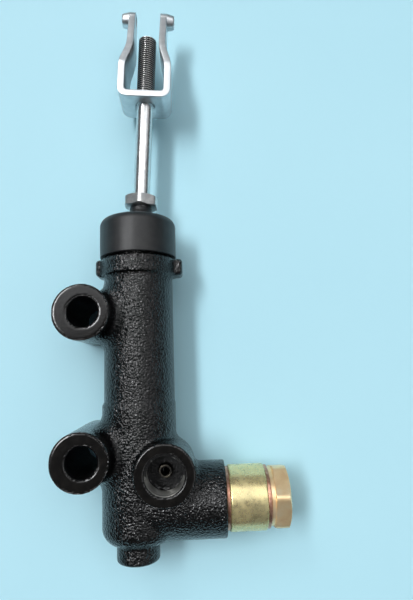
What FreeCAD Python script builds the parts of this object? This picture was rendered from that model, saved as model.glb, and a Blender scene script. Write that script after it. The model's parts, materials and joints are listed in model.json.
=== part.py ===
import FreeCAD, Part
import math
import os
import Sketcher

# Clutch master cylinder, millimetres.
# The cylinder is drawn lying down: the bore runs along Y, the union arm along X, and the
# mounting faces look up along Z. Bore sizes are measured from the point where the bore axis
# and the arm axis cross. Rod sizes are measured along the rod from the centre of its ball.

SIZES = (
    # Iron casting
    ("barrel_dia", 35.6, "outside of the barrel"),
    ("block_step", 0.85, "lower block thicker than the barrel, on the radius"),
    ("block_top", 47.6, "height of the step between block and barrel"),
    ("block_drop", 18.0, "underside of the block below the arm axis"),
    ("block_round", 7.5, "rounding under the block"),
    ("stub_dia", 20.9, "end stub under the block"),
    ("stub_drop", 26.6, "end of the stub below the arm axis"),
    ("stub_shift", 1.3, "stub off the bore axis, towards the mounting side"),
    ("edge_round", 1.2, "small rounding of cast edges"),
    ("arm_dia", 36.1, "union arm"),
    ("arm_length", 41.7, "face of the arm from the bore axis"),
    ("blend", 3.0, "cast fillet where the mounting bosses join the barrel"),
    ("neck_reach", 39.5, "open end of the casting above the upper mounting hole"),
    ("collar_step", 1.7, "collar under the dust boot, thicker than the barrel on the radius"),
    ("collar_drop", 9.8, "upper face of the collar below the open end"),
    ("collar_height", 8.7, "collar"),
    ("lug_left", 2.1, "tip of the lug on the mounting side past the collar"),
    ("lug_right", 3.8, "tip of the other lug past the collar"),
    ("lug_width", 12.0, "collar lug across"),
    ("lug_round", 2.6, "rounded corners of the lugs"),
    ("neck_groove", 1.0, "depth of the boot groove in the neck"),
    ("neck_groove_drop", 7.0, "lower side of the boot groove below the open end"),
    ("neck_groove_width", 3.0, "width of the boot groove"),
    ("mouth_step", 2.1, "relief inside the open end, wider than the bore on the radius"),
    # Mounting bosses
    ("mount_dia", 26.5, "mounting boss"),
    ("mount_offset", 23.2, "mounting hole from the bore axis"),
    ("boss_shift", 1.0, "mounting boss further out than its hole"),
    ("mount_low", 24.6, "lower mounting hole above the arm axis"),
    ("mount_spacing", 66.9, "distance between the mounting holes"),
    ("mount_front", 28.2, "mounting face above the bore axis"),
    ("mount_foot", 3.0, "rear face of the bosses below the barrel"),
    ("mount_hole", 14.0, "mounting hole"),
    ("mount_chamfer", 0.6, "chamfer of the mounting holes at the rear"),
    # Outlet port
    ("port_boss_dia", 28.0, "port boss"),
    ("port_offset", 13.2, "port axis from the bore axis"),
    ("port_height", 17.4, "port axis above the arm axis"),
    ("port_front", 27.0, "port face above the bore axis"),
    ("port_thread", 18.0, "port thread, nominal"),
    ("port_pitch", 1.5, "port thread pitch"),
    ("port_depth", 13.0, "depth of the tapped hole"),
    ("port_relief", 3.8, "undercut below the port thread"),
    ("port_chamfer", 1.2, "chamfer of the port mouth"),
    ("passage_dia", 5.0, "drilled passage from the port to the bore"),
    ("seat_dia", 7.2, "pipe seat in the port"),
    ("seat_hole", 4.2, "hole of the pipe seat"),
    ("seat_height", 3.6, "pipe seat above the bottom of the port"),
    # Bore and arm drillings
    ("bore_dia", 25.4, "cylinder bore"),
    ("bore_floor", 13.0, "floor of the bore above the arm axis"),
    ("bolt_room", 2.0, "tapped hole of the arm deeper than the bolt"),
    ("inlet_dia", 5.6, "inlet hole in the floor of the bore"),
    ("chamber_dia", 13.0, "inlet chamber in the arm"),
    ("chamber_reach", 6.0, "far end of the inlet chamber past the bore axis"),
    # Piston group
    ("ball_drop", 16.0, "centre of the push rod ball below the open end"),
    ("ball_dia", 15.5, "ball of the push rod"),
    ("fit", 0.05, "running clearance on the radius"),
    ("seat_gap", 0.1, "play where a moving piece rests on a fixed one"),
    ("piston_length", 40.0, "whole piston"),
    ("nose_length", 7.4, "front nose of the piston, which carries the cup"),
    ("nose_dia", 13.6, "front nose"),
    ("nose_bore", 8.6, "bore in the nose for the valve stem head"),
    ("nose_bore_depth", 9.4, "depth of that bore"),
    ("land_length", 3.6, "front land of the piston"),
    ("waist_dia", 21.0, "waist of the piston"),
    ("waist_length", 5.2, "length of the waist with its slopes"),
    ("rear_land", 1.2, "land between the waist and the rear seal groove"),
    ("seal_groove_dia", 17.0, "bottom of the rear seal groove"),
    ("seal_groove_width", 5.6, "width of the rear seal groove"),
    ("lip_thickness", 1.7, "rubber cup lip"),
    ("lip_taper", 0.5, "rubber cup lip, tapered on each side"),
    ("heel_thickness", 2.4, "heel of the rubber cups"),
    ("cup_height", 5.6, "front cup"),
    ("shim_thickness", 0.5, "shim behind the front cup"),
    ("washer_hole", 14.2, "hole of the stop washer"),
    ("washer_thickness", 1.6, "stop washer"),
    ("ring_wire", 1.6, "snap ring thickness"),
    ("ring_bite", 1.4, "depth of the snap ring groove"),
    ("ring_inside", 20.4, "inside of the snap ring"),
    ("ring_gap", 9.0, "opening between the snap ring ends"),
    ("ring_shoulder", 1.0, "bore left above the snap ring"),
    # Return spring, retainer and supply valve
    ("spacer_dia", 23.8, "valve spacer"),
    ("spacer_height", 6.6, "valve spacer"),
    ("spacer_wall", 1.4, "valve spacer wall"),
    ("spacer_window", 6.0, "flow window of the spacer"),
    ("window_bridge", 0.3, "wall left between a window and the end of the spacer"),
    ("stem_dia", 3.2, "valve stem"),
    ("stem_room", 0.4, "play of the stem in the hole of the spacer"),
    ("stem_head", 7.0, "head of the valve stem"),
    ("stem_foot", 9.6, "foot plate of the valve stem"),
    ("foot_thickness", 1.0, "foot plate"),
    ("valve_lift", 1.2, "travel of the supply valve"),
    ("valve_seal_height", 2.0, "rubber valve seal"),
    ("valve_seal_dia", 10.2, "rubber valve seal"),
    ("valve_seal_bevel", 0.5, "bevel and recess of the valve seal"),
    ("wave_height", 0.5, "wave washer"),
    ("wave_sheet", 0.2, "wave washer sheet"),
    ("thimble_length", 20.0, "spring retainer"),
    ("thimble_dia", 11.2, "spring retainer tube"),
    ("thimble_wall", 0.9, "spring retainer sheet"),
    ("thimble_flange", 20.4, "spring retainer flange"),
    ("spring_dia", 19.4, "return spring outside"),
    ("spring_wire", 2.1, "return spring wire"),
    ("spring_turns", 6.0, "turns of the return spring"),
    # Push rod and boot
    ("rod_lean", 2.8, "lean of the rod, degrees"),
    ("rod_dia", 9.0, "plain shank of the push rod"),
    ("rod_thread", 10.0, "thread of the push rod, nominal"),
    ("thread_start", 95.2, "start of the thread from the ball centre"),
    ("rod_length", 136.4, "end of the rod from the ball centre"),
    ("rod_chamfer", 1.2, "chamfer at the end of the rod"),
    ("grip_height", 35.9, "lower face of the rod's spanner hexagon from the ball centre"),
    ("grip_flats", 17.0, "spanner hexagon across flats"),
    ("grip_thickness", 5.7, "spanner hexagon"),
    ("grip_turn", 37.0, "turn of the hexagon about the rod, degrees"),
    ("hexagon_bevel", 30.0, "bevel of the hexagon and the bolt head, degrees"),
    ("bevel_start", 0.3, "start of that bevel inside the flats"),
    ("boot_drop", 8.6, "lower rim of the dust boot below the open end"),
    ("boot_rise", 13.0, "top of the dust boot above the open end"),
    ("boot_wall", 2.15, "wall of the dust boot"),
    ("boot_shoulder", 3.2, "shoulder rounding of the dust boot"),
    ("boot_hole", 9.6, "hole of the boot for the rod"),
    ("boot_lip", 3.3, "lip round that hole above the top of the boot"),
    # Clevis
    ("strap", 3.85, "thickness of the clevis strap"),
    ("clevis_width", 22.4, "width of the strap"),
    ("clevis_base", 94.7, "underside of the clevis from the ball centre"),
    ("clevis_outer", 28.9, "outside across the wide legs"),
    ("clevis_corner", 5.0, "outside bend of the strap"),
    ("leg_end", 20.6, "start of the joggle above the underside"),
    ("ear_start", 32.4, "end of the joggle above the underside"),
    ("ear_gap", 13.9, "gap between the ears"),
    ("pin_height", 53.5, "pin axis above the underside"),
    ("pin_hole", 6.0, "hole for the clevis pin"),
    ("pin_collar", 8.8, "drawn collar round the pin hole, at the ear"),
    ("pin_collar_tip", 7.4, "drawn collar at its tip"),
    ("collar_length", 4.0, "height of the drawn collar"),
    ("ear_radius", 4.6, "rounded end of the ears"),
    ("rod_hole_flare", 0.9, "chamfer of the rod's hole under the clevis"),
    # Union on the arm
    ("copper_thickness", 1.6, "sealing washer"),
    ("copper_dia", 29.6, "sealing washer"),
    ("sleeve_dia", 31.0, "union sleeve"),
    ("sleeve_length", 17.9, "union sleeve"),
    ("sleeve_groove", 21.0, "ring channel inside the sleeve"),
    ("sleeve_groove_width", 9.0, "width of the ring channel"),
    ("sleeve_inlet", 8.9, "tapped inlet hole of the sleeve"),
    ("sleeve_chamfer", 0.7, "edge chamfer of the sleeve"),
    ("bolt_thread", 18.0, "union bolt thread, nominal"),
    ("bolt_grip", 20.0, "depth of the bolt in the arm"),
    ("bolt_chamfer", 1.0, "chamfer at the end of the bolt"),
    ("bolt_hollow", 9.0, "drilling along the bolt"),
    ("bolt_cross", 5.0, "cross drilling of the bolt"),
    ("bolt_collar", 27.4, "washer face of the bolt"),
    ("bolt_collar_thickness", 2.2, "washer face of the bolt"),
    ("bolt_flats", 28.0, "bolt head across flats"),
    ("bolt_head", 7.3, "bolt head"),
    ("bolt_turn", 21.0, "turn of the bolt head about its axis, degrees"),
    # Working lengths
    ("past", 1.0, "a cut runs this far past the face that it opens"),
    ("sunk", 0.2, "a raised form starts this deep in what carries it"),
    ("thread_depth", 0.54, "depth of a metric thread for each millimetre of pitch"),
)


class Size:
    """A length together with the sheet expression that gives it."""

    def __init__(self, text, value):
        self.text = text
        self.value = value

    def joined(self, sign, other, value, swap=False):
        left, right = (text_of(other), self.text) if swap else (self.text, text_of(other))
        return Size("(" + left + " " + sign + " " + right + ")", value)

    def __add__(self, other):
        return self.joined("+", other, self.value + number(other))

    def __radd__(self, other):
        return self.joined("+", other, number(other) + self.value, swap=True)

    def __sub__(self, other):
        return self.joined("-", other, self.value - number(other))

    def __rsub__(self, other):
        return self.joined("-", other, number(other) - self.value, swap=True)

    def __mul__(self, other):
        return self.joined("*", other, self.value * number(other))

    def __rmul__(self, other):
        return self.joined("*", other, number(other) * self.value, swap=True)

    def __truediv__(self, other):
        return self.joined("/", other, self.value / number(other))

    def __neg__(self):
        return 0 - self


def number(item):
    return item.value if isinstance(item, Size) else float(item)


def text_of(item):
    return item.text if isinstance(item, Size) else repr(float(item))


def root(item):
    return Size("sqrt(" + item.text + ")", math.sqrt(item.value))


def ratio(kind, degrees):
    """Sine, cosine or tangent of an angle: kind is sin, cos or tan."""
    value = getattr(math, kind)(math.radians(degrees.value))
    return Size(kind + "(" + degrees.text + " * 1 deg)", value)


os.makedirs("parts", exist_ok=True)
doc = FreeCAD.newDocument("clutch_master_cylinder")
sheet = doc.addObject("Spreadsheet::Sheet", "Sizes")
size = {}
for row, (name, value, meaning) in enumerate(SIZES, start=1):
    sheet.set("A" + str(row), name)
    sheet.set("B" + str(row), str(value))
    sheet.set("C" + str(row), meaning)
    sheet.setAlias("B" + str(row), name)
    size[name] = Size("Sizes." + name, value)
doc.recompute()

made = []


def bind(item, prop, value):
    """Ties one property of an object to the sheet."""
    if isinstance(value, Size):
        item.setExpression(prop, value.text)
    else:
        item.setExpression(prop, text_of(value))


def settle(item, x, y, z, axis=FreeCAD.Vector(0, 0, 1), angle=0.0):
    """Places an object, with the bore frame moved so that the mounting holes are the origin."""
    turn = FreeCAD.Rotation(axis, number(angle) or 1.0)
    item.Placement = FreeCAD.Placement(FreeCAD.Vector(), turn)
    bind(item, "Placement.Base.x", x + size["mount_offset"])
    bind(item, "Placement.Base.y", y - size["mount_low"] - size["mount_spacing"] / 2)
    bind(item, "Placement.Base.z", z - size["mount_front"])
    bind(item, "Placement.Rotation.Angle", angle)


def new_body(label):
    body = doc.addObject("PartDesign::Body", label)
    body.Label = label
    made.append(body)
    return body


def new_sketch(body, name, plane="XY_Plane", lift=0.0, shift_x=0.0, shift_y=0.0):
    """A sketch on one of the body's own origin planes, moved along the plane's normal."""
    support = [item for item in body.Origin.OriginFeatures if item.Role == plane][0]
    sketch = body.newObject("Sketcher::SketchObject", name)
    sketch.AttachmentSupport = [(support, "")]
    sketch.MapMode = "FlatFace"
    for key, value in (("x", shift_x), ("y", shift_y), ("z", lift)):
        if number(value):
            bind(sketch, "AttachmentOffset.Base." + key, value)
    return sketch


def fix_point(sketch, edge, end, x, y):
    """Holds one point of a sketch at a place given by the sheet."""
    for kind, axis, place in (("DistanceX", -2, x), ("DistanceY", -1, y)):
        if number(place) == 0.0:
            sketch.addConstraint(Sketcher.Constraint("PointOnObject", edge, end, axis))
        else:
            rule = Sketcher.Constraint(kind, -1, 1, edge, end, number(place))
            index = sketch.addConstraint(rule)
            bind(sketch, "Constraints[" + str(index) + "]", place)


def outline(sketch, points):
    """Closed outline through points; a third value bends the edge that arrives there.

    A positive bend is an arc of that radius that turns left, a negative one turns right.
    """
    count = len(points)
    ends = []
    for here in range(count):
        start = FreeCAD.Vector(number(points[here - 1][0]), number(points[here - 1][1]), 0)
        stop = FreeCAD.Vector(number(points[here][0]), number(points[here][1]), 0)
        bend = points[here][2] if len(points[here]) > 2 else None
        if bend is None:
            sketch.addGeometry(Part.LineSegment(start, stop), False)
            ends.append((1, 2))
            continue
        radius = abs(number(bend))
        chord = stop - start
        height = math.sqrt(max(radius * radius - chord.Length ** 2 / 4, 0.0))
        side = 1.0 if number(bend) > 0 else -1.0
        left = FreeCAD.Vector(-chord.y, chord.x, 0).normalize()
        centre = (start + stop) * 0.5 + left * (side * height)
        first, last = (start, stop) if side > 0 else (stop, start)
        angles = [math.atan2(p.y - centre.y, p.x - centre.x) for p in (first, last)]
        circle = Part.Circle(centre, FreeCAD.Vector(0, 0, 1), radius)
        sketch.addGeometry(Part.ArcOfCircle(circle, angles[0], angles[1]), False)
        ends.append((1, 2) if side > 0 else (2, 1))
    for here in range(count):
        after = (here + 1) % count
        joint = Sketcher.Constraint("Coincident", here, ends[here][1], after, ends[after][0])
        sketch.addConstraint(joint)
        fix_point(sketch, here, ends[here][1], points[here][0], points[here][1])
        if len(points[here]) > 2:
            bend = points[here][2]
            index = sketch.addConstraint(Sketcher.Constraint("Radius", here, abs(number(bend))))
            bind(sketch, "Constraints[" + str(index) + "]", bend if number(bend) > 0 else -bend)


def circle(sketch, x, y, radius):
    """A circle held at a place and radius given by the sheet."""
    centre = FreeCAD.Vector(number(x), number(y), 0)
    edge = sketch.addGeometry(Part.Circle(centre, FreeCAD.Vector(0, 0, 1), number(radius)), False)
    fix_point(sketch, edge, 3, x, y)
    index = sketch.addConstraint(Sketcher.Constraint("Radius", edge, number(radius)))
    bind(sketch, "Constraints[" + str(index) + "]", radius)


def box_points(x0, y0, x1, y1):
    return ((x0, y0), (x1, y0), (x1, y1), (x0, y1))


def turned(body, name, points, kind="Revolution", axis="V_Axis"):
    """A turned form: the outline carried round the bore axis, or round X with H_Axis."""
    sketch = new_sketch(body, name + "_profile")
    outline(sketch, points)
    feature = body.newObject("PartDesign::" + kind, name)
    feature.Profile = sketch
    feature.ReferenceAxis = (sketch, [axis])
    feature.Angle = 360
    doc.recompute()
    return feature


def pushed(body, name, sketch, length, kind="Pad", reverse=False):
    """A pad or a pocket of a sketch, by a length from the sheet."""
    feature = body.newObject("PartDesign::" + kind, name)
    feature.Profile = sketch
    bind(feature, "Length", length)
    feature.Reversed = reverse
    before = body.Shape.Volume if body.Shape and not body.Shape.isNull() else 0.0
    doc.recompute()
    after = feature.Shape.Volume
    if (kind == "Pocket") == (after >= before):
        raise RuntimeError(name + " points away from the solid")
    return feature


def rounded(body, name, radius, wanted, kind="Fillet"):
    """Rounds the edges of the body for which wanted(edge) is true."""
    base = body.Tip
    names = ["Edge" + str(at) for at, edge in enumerate(base.Shape.Edges, start=1) if wanted(edge)]
    if not names:
        raise RuntimeError(name + " finds no edge")
    feature = body.newObject("PartDesign::" + kind, name)
    feature.Base = (base, names)
    bind(feature, "Radius" if kind == "Fillet" else "Size", radius)
    doc.recompute()
    return feature


def samples(edge):
    first, last = edge.ParameterRange
    return [edge.valueAt(first + (last - first) * step / 6) for step in range(7)]


def on_tube(edge, across, radius, slack=0.02):
    """True where an edge runs on a tube, given its distance from the axis of the tube."""
    return all(abs(across(point) - number(radius)) < slack for point in samples(edge))


def hexagon(flats, turn):
    """Corners of a hexagon, the first of them turned by an angle from the first axis."""
    corner = flats / math.sqrt(3)
    angles = [turn + step for step in range(0, 360, 60)]
    return [(corner * ratio("cos", angle), corner * ratio("sin", angle)) for angle in angles]


def bevel_points(flats, face, inward):
    """Outline of the ring that bevels a hexagon at a face; inward is 1 or -1."""
    start = flats / 2 - size["bevel_start"]
    reach = flats / math.sqrt(3) + size["past"]
    drop = (reach - start) * ratio("tan", size["hexagon_bevel"])
    return ((start, face), (reach, face), (reach, face + drop * inward))


bore = size["bore_dia"] / 2
barrel = size["barrel_dia"] / 2
block = barrel + size["block_step"]
stub = size["stub_dia"] / 2
arm = size["arm_dia"] / 2
collar = barrel + size["collar_step"]
small = size["edge_round"]
past = size["past"]
mount_x = -size["mount_offset"]
boss_x = mount_x - size["boss_shift"]
mount_heights = (size["mount_low"], size["mount_low"] + size["mount_spacing"])
mount_rear = barrel + size["mount_foot"]
neck_end = mount_heights[1] + size["neck_reach"]
collar_high = neck_end - size["collar_drop"]
collar_low = collar_high - size["collar_height"]
ball = size["ball_dia"] / 2
ball_height = neck_end - size["ball_drop"]
washer_low = ball_height + root(ball * ball - size["washer_hole"] * size["washer_hole"] / 4)
washer_low = washer_low + size["seat_gap"]
washer_high = washer_low + size["washer_thickness"]
ring_low = washer_high
ring_high = ring_low + size["ring_wire"]
mouth_low = ring_high + size["ring_shoulder"]
mouth = bore + size["mouth_step"]
piston_rear = washer_low - size["seat_gap"]
piston_front = piston_rear - size["piston_length"]

# Casting: barrel, block, collar and neck are one turned form. The stub, the arm and the bosses
# grow out of it, and the drillings follow.
body = new_body("cylinder_body")
neck_low = neck_end - size["neck_groove_drop"]
neck_high = neck_low + size["neck_groove_width"]
turned(body, "barrel", (
    (0.0, -size["block_drop"]),
    (block - size["block_round"], -size["block_drop"]),
    (block, size["block_round"] - size["block_drop"], size["block_round"]),
    (block, size["block_top"] - small),
    (barrel, size["block_top"]),
    (barrel, collar_low),
    (collar - small / 2, collar_low),
    (collar, collar_low + small / 2, small / 2),
    (collar, collar_high - small / 2),
    (collar - small / 2, collar_high, small / 2),
    (barrel, collar_high),
    (barrel, neck_low),
    (barrel - size["neck_groove"], neck_low),
    (barrel - size["neck_groove"], neck_high),
    (barrel, neck_high),
    (barrel, neck_end - small),
    (barrel - small, neck_end),
    (0.0, neck_end),
))

sketch = new_sketch(body, "stub_section", "XZ_Plane", shift_x=-size["stub_shift"])
circle(sketch, 0.0, 0.0, stub)
pushed(body, "stub", sketch, size["stub_drop"])
rounded(body, "stub_edge", small, lambda edge: all(
    abs(point.y + size["stub_drop"].value) < 0.01 for point in samples(edge)))

sketch = new_sketch(body, "arm_section", "YZ_Plane")
circle(sketch, 0.0, 0.0, arm)
pushed(body, "arm", sketch, size["arm_length"])
rounded(body, "arm_edge", small / 2, lambda edge: all(
    abs(point.x - size["arm_length"].value) < 0.01 for point in samples(edge)))

for side, step in ((-1, size["lug_left"]), (1, size["lug_right"])):
    sketch = new_sketch(body, "lug_section_" + str(side + 2), lift=-size["lug_width"] / 2)
    reach = (collar + step) * side
    inner = (barrel - past) * side
    curve = size["lug_round"] * side
    outline(sketch, (
        (inner, collar_low),
        (reach - curve, collar_low),
        (reach, collar_low + size["lug_round"], curve),
        (reach, collar_high - size["lug_round"]),
        (reach - curve, collar_high, curve),
        (inner, collar_high),
    ))
    pushed(body, "lug_" + str(side + 2), sketch, size["lug_width"])

for at, height in enumerate(mount_heights, start=1):
    sketch = new_sketch(body, "mount_section_" + str(at), lift=-mount_rear)
    circle(sketch, boss_x, height, size["mount_dia"] / 2)
    pushed(body, "mount_boss_" + str(at), sketch, size["mount_front"] + mount_rear)
    wall = block if at == 1 else barrel

    def from_boss(point, height=height):
        return math.hypot(point.x - boss_x.value, point.y - height.value)

    def seam(edge, wall=wall, from_boss=from_boss):
        on_boss = on_tube(edge, from_boss, size["mount_dia"] / 2)
        return on_boss and on_tube(edge, lambda point: math.hypot(point.x, point.z), wall, 0.05)

    rounded(body, "mount_blend_" + str(at), size["blend"], seam)

sketch = new_sketch(body, "port_section")
circle(sketch, size["port_offset"], size["port_height"], size["port_boss_dia"] / 2)
pushed(body, "port_boss", sketch, size["port_front"])


def rim(edge):
    level = samples(edge)[0].z
    flat = all(abs(point.z - level) < 0.01 for point in samples(edge))
    faces = (size["mount_front"].value, size["port_front"].value)
    return flat and any(abs(level - face) < 0.01 for face in faces)


rounded(body, "boss_rims", small / 2, rim)

turned(body, "bore", (
    (0.0, size["bore_floor"]),
    (bore, size["bore_floor"]),
    (bore, ring_low),
    (bore + size["ring_bite"], ring_low),
    (bore + size["ring_bite"], ring_high),
    (bore, ring_high),
    (bore, mouth_low),
    (mouth, mouth_low + size["mouth_step"]),
    (mouth, neck_end + past),
    (0.0, neck_end + past),
), kind="Groove")

sketch = new_sketch(body, "inlet_section", "XZ_Plane")
circle(sketch, 0.0, 0.0, size["inlet_dia"] / 2)
pushed(body, "inlet_hole", sketch, size["bore_floor"] + past, kind="Pocket")

bolt = size["bolt_thread"] / 2
tapped = bolt + size["fit"]
tapped_end = size["arm_length"] - size["bolt_grip"] - size["bolt_room"]
turned(body, "arm_drilling", (
    (-size["chamber_reach"], 0.0),
    (-size["chamber_reach"], size["chamber_dia"] / 2),
    (tapped_end, size["chamber_dia"] / 2),
    (tapped_end, tapped),
    (size["arm_length"] + past, tapped),
    (size["arm_length"] + past, 0.0),
), kind="Groove", axis="H_Axis")

for at, height in enumerate(mount_heights, start=1):
    hole = size["mount_hole"] / 2
    flare = size["mount_chamfer"]
    sketch = new_sketch(body, "mount_hole_profile_" + str(at), "XZ_Plane", lift=-height,
                        shift_x=mount_x)
    outline(sketch, (
        (0.0, -mount_rear),
        (hole + flare, -mount_rear),
        (hole, flare - mount_rear),
        (hole, size["mount_front"]),
        (0.0, size["mount_front"]),
    ))
    groove = body.newObject("PartDesign::Groove", "mount_hole_" + str(at))
    groove.Profile = sketch
    groove.ReferenceAxis = (sketch, ["V_Axis"])
    groove.Angle = 360
    doc.recompute()

port_core = size["port_thread"] / 2 - size["port_pitch"] * size["thread_depth"]
port_floor = size["port_front"] - size["port_depth"]
sketch = new_sketch(body, "port_profile", "XZ_Plane", lift=-size["port_height"],
                    shift_x=size["port_offset"])
outline(sketch, (
    (0.0, 0.0),
    (size["passage_dia"] / 2, 0.0),
    (size["passage_dia"] / 2, port_floor),
    (size["port_thread"] / 2, port_floor),
    (size["port_thread"] / 2, port_floor + size["port_relief"]),
    (port_core, port_floor + size["port_relief"]),
    (port_core, size["port_front"] - size["port_chamfer"]),
    (port_core + size["port_chamfer"], size["port_front"]),
    (0.0, size["port_front"]),
))
groove = body.newObject("PartDesign::Groove", "port_drilling")
groove.Profile = sketch
groove.ReferenceAxis = (sketch, ["V_Axis"])
groove.Angle = 360
doc.recompute()
settle(body, 0.0, 0.0, 0.0)

# Dust boot: a rubber cap that grips the groove of the neck and seals round the push rod.
body = new_body("dust_boot")
wall = size["boot_wall"]
shoulder = size["boot_shoulder"]
lip = size["boot_hole"] / 2
snug = barrel + size["fit"]
boot = snug + wall
boot_low = neck_end - size["boot_drop"]
boot_high = neck_end + size["boot_rise"]
turned(body, "cap", (
    (snug, boot_low),
    (boot - small / 2, boot_low),
    (boot, boot_low + small / 2),
    (boot, boot_high - shoulder),
    (boot - shoulder, boot_high, shoulder),
    (0.0, boot_high),
    (0.0, boot_high - wall),
    (boot - shoulder, boot_high - wall),
    (snug, boot_high - shoulder, wall - shoulder),
    (snug, neck_high - size["fit"]),
    (snug - size["neck_groove"], neck_high - size["fit"]),
    (snug - size["neck_groove"], neck_low + size["fit"]),
    (snug, neck_low + size["fit"]),
))
lean_x = ratio("tan", size["rod_lean"]) * (boot_high - ball_height)
rim_low = boot_high - size["sunk"]
sketch = new_sketch(body, "lip_section", "XZ_Plane", lift=-rim_low, shift_x=lean_x)
circle(sketch, 0.0, 0.0, lip + wall)
pushed(body, "lip_form", sketch, size["boot_lip"] + size["sunk"], reverse=True)
hole_low = boot_high - wall - past
sketch = new_sketch(body, "eye_section", "XZ_Plane", lift=-hole_low, shift_x=lean_x)
circle(sketch, 0.0, 0.0, lip)
pushed(body, "eye", sketch, wall + size["boot_lip"] + past * 2, kind="Pocket")
settle(body, 0.0, 0.0, 0.0)

# Snap ring and stop washer hold the piston in the bore.
body = new_body("snap_ring")
turned(body, "ring", (
    (size["ring_inside"] / 2, ring_low + size["fit"]),
    (bore + size["ring_bite"] - size["fit"], ring_low + size["fit"]),
    (bore + size["ring_bite"] - size["fit"], ring_high - size["fit"]),
    (size["ring_inside"] / 2, ring_high - size["fit"]),
))
sketch = new_sketch(body, "gap_section", lift=0.0)
outline(sketch, box_points(size["ring_gap"] * -0.5, ring_low - past, size["ring_gap"] / 2, ring_high + past))
pushed(body, "ring_opening", sketch, bore + size["ring_bite"] + past, kind="Pocket", reverse=True)
settle(body, 0.0, 0.0, 0.0)

body = new_body("stop_washer")
turned(body, "disc", box_points(
    size["washer_hole"] / 2, washer_low, bore - size["fit"], washer_high))
settle(body, 0.0, 0.0, 0.0)

# Piston with its two cups and the shim behind the front cup.
nose = size["nose_dia"] / 2
land = bore - size["fit"]
waist = size["waist_dia"] / 2
nose_high = piston_front + size["nose_length"]
land_high = nose_high + size["land_length"]
waist_high = land_high + size["waist_length"]
slope = land - waist
seal_low = waist_high + size["rear_land"]
seal_high = seal_low + size["seal_groove_width"]
seal_core = size["seal_groove_dia"] / 2
socket = ball + size["fit"]
nose_core = size["nose_bore"] / 2
nose_floor = piston_front + size["nose_bore_depth"]
body = new_body("piston")
turned(body, "piston_form", (
    (nose_core, piston_front),
    (nose, piston_front),
    (nose, nose_high),
    (land, nose_high),
    (land, land_high),
    (waist, land_high + slope),
    (waist, waist_high - slope),
    (land, waist_high),
    (land, seal_low),
    (seal_core, seal_low),
    (seal_core, seal_high),
    (land, seal_high),
    (land, piston_rear - small / 2),
    (land - small / 2, piston_rear),
    (socket + small / 2, piston_rear),
    (socket, piston_rear - small / 2),
    (socket, ball_height),
    (0.0, ball_height - socket, -socket),
    (0.0, nose_floor + nose_core / 2),
    (nose_core, nose_floor),
))
settle(body, 0.0, 0.0, 0.0)

lips = size["lip_thickness"]
taper = size["lip_taper"]
heel = size["heel_thickness"]
cup_low = nose_high - size["shim_thickness"] - size["cup_height"]
cup_high = nose_high - size["shim_thickness"]
body = new_body("primary_cup")
turned(body, "cup", (
    (nose + size["fit"], cup_low),
    (nose + lips - taper, cup_low),
    (nose + lips, cup_high - heel),
    (land - lips, cup_high - heel),
    (land - lips + taper, cup_low),
    (land, cup_low),
    (land - taper, cup_high - heel / 2),
    (land - taper, cup_high),
    (nose + size["fit"], cup_high),
))
settle(body, 0.0, 0.0, 0.0)

body = new_body("cup_washer")
turned(body, "shim", box_points(nose + size["fit"], cup_high, land - taper, nose_high))
settle(body, 0.0, 0.0, 0.0)

body = new_body("secondary_cup")
turned(body, "ring_cup", (
    (seal_core + size["fit"], seal_low + size["fit"]),
    (seal_core + lips - taper, seal_low + size["fit"]),
    (seal_core + lips - taper, seal_high - heel),
    (land - lips + taper, seal_high - heel),
    (land - taper, seal_low + size["fit"]),
    (land, seal_low + size["fit"]),
    (land - taper / 2, seal_high - size["fit"]),
    (seal_core + size["fit"], seal_high - size["fit"]),
))
settle(body, 0.0, 0.0, 0.0)

# Spring retainer: a drawn thimble on the piston nose, which lifts the valve stem by its head.
sheet_wall = size["thimble_wall"]
tube = size["thimble_dia"] / 2
flange_low = piston_front - sheet_wall
thimble_low = piston_front - size["thimble_length"]
stem = size["stem_dia"] / 2
body = new_body("spring_retainer")
turned(body, "thimble", (
    (stem + sheet_wall, thimble_low),
    (tube - sheet_wall, thimble_low),
    (tube, thimble_low + sheet_wall, sheet_wall),
    (tube, flange_low),
    (size["thimble_flange"] / 2, flange_low),
    (size["thimble_flange"] / 2, piston_front),
    (tube - sheet_wall, piston_front),
    (tube - sheet_wall, thimble_low + sheet_wall),
    (stem + sheet_wall, thimble_low + sheet_wall),
))
settle(body, 0.0, 0.0, 0.0)

# Valve spacer: a windowed cup on the floor of the bore, which carries the return spring.
spacer = size["spacer_dia"] / 2
spacer_wall = size["spacer_wall"]
spacer_top = size["bore_floor"] + size["spacer_height"]
plate_low = spacer_top - spacer_wall
body = new_body("valve_spacer")
turned(body, "spacer_cup", (
    (spacer - spacer_wall, size["bore_floor"]),
    (spacer, size["bore_floor"]),
    (spacer, spacer_top - spacer_wall / 2),
    (spacer - spacer_wall / 2, spacer_top),
    (stem + size["stem_room"], spacer_top),
    (stem + size["stem_room"], plate_low),
    (spacer - spacer_wall, plate_low),
))
window_low = size["bore_floor"] + spacer_wall
window_high = plate_low - size["window_bridge"]
half = size["spacer_window"] / 2
for plane, corners in (
        ("XY_Plane", box_points(-half, window_low, half, window_high)),
        ("YZ_Plane", box_points(window_low, -half, window_high, half))):
    sketch = new_sketch(body, "window_" + plane[:2], plane, lift=-spacer - past)
    outline(sketch, corners)
    across = (spacer + past) * 2
    pushed(body, "window_cut_" + plane[:2], sketch, across, kind="Pocket", reverse=True)
settle(body, 0.0, 0.0, 0.0)

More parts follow.
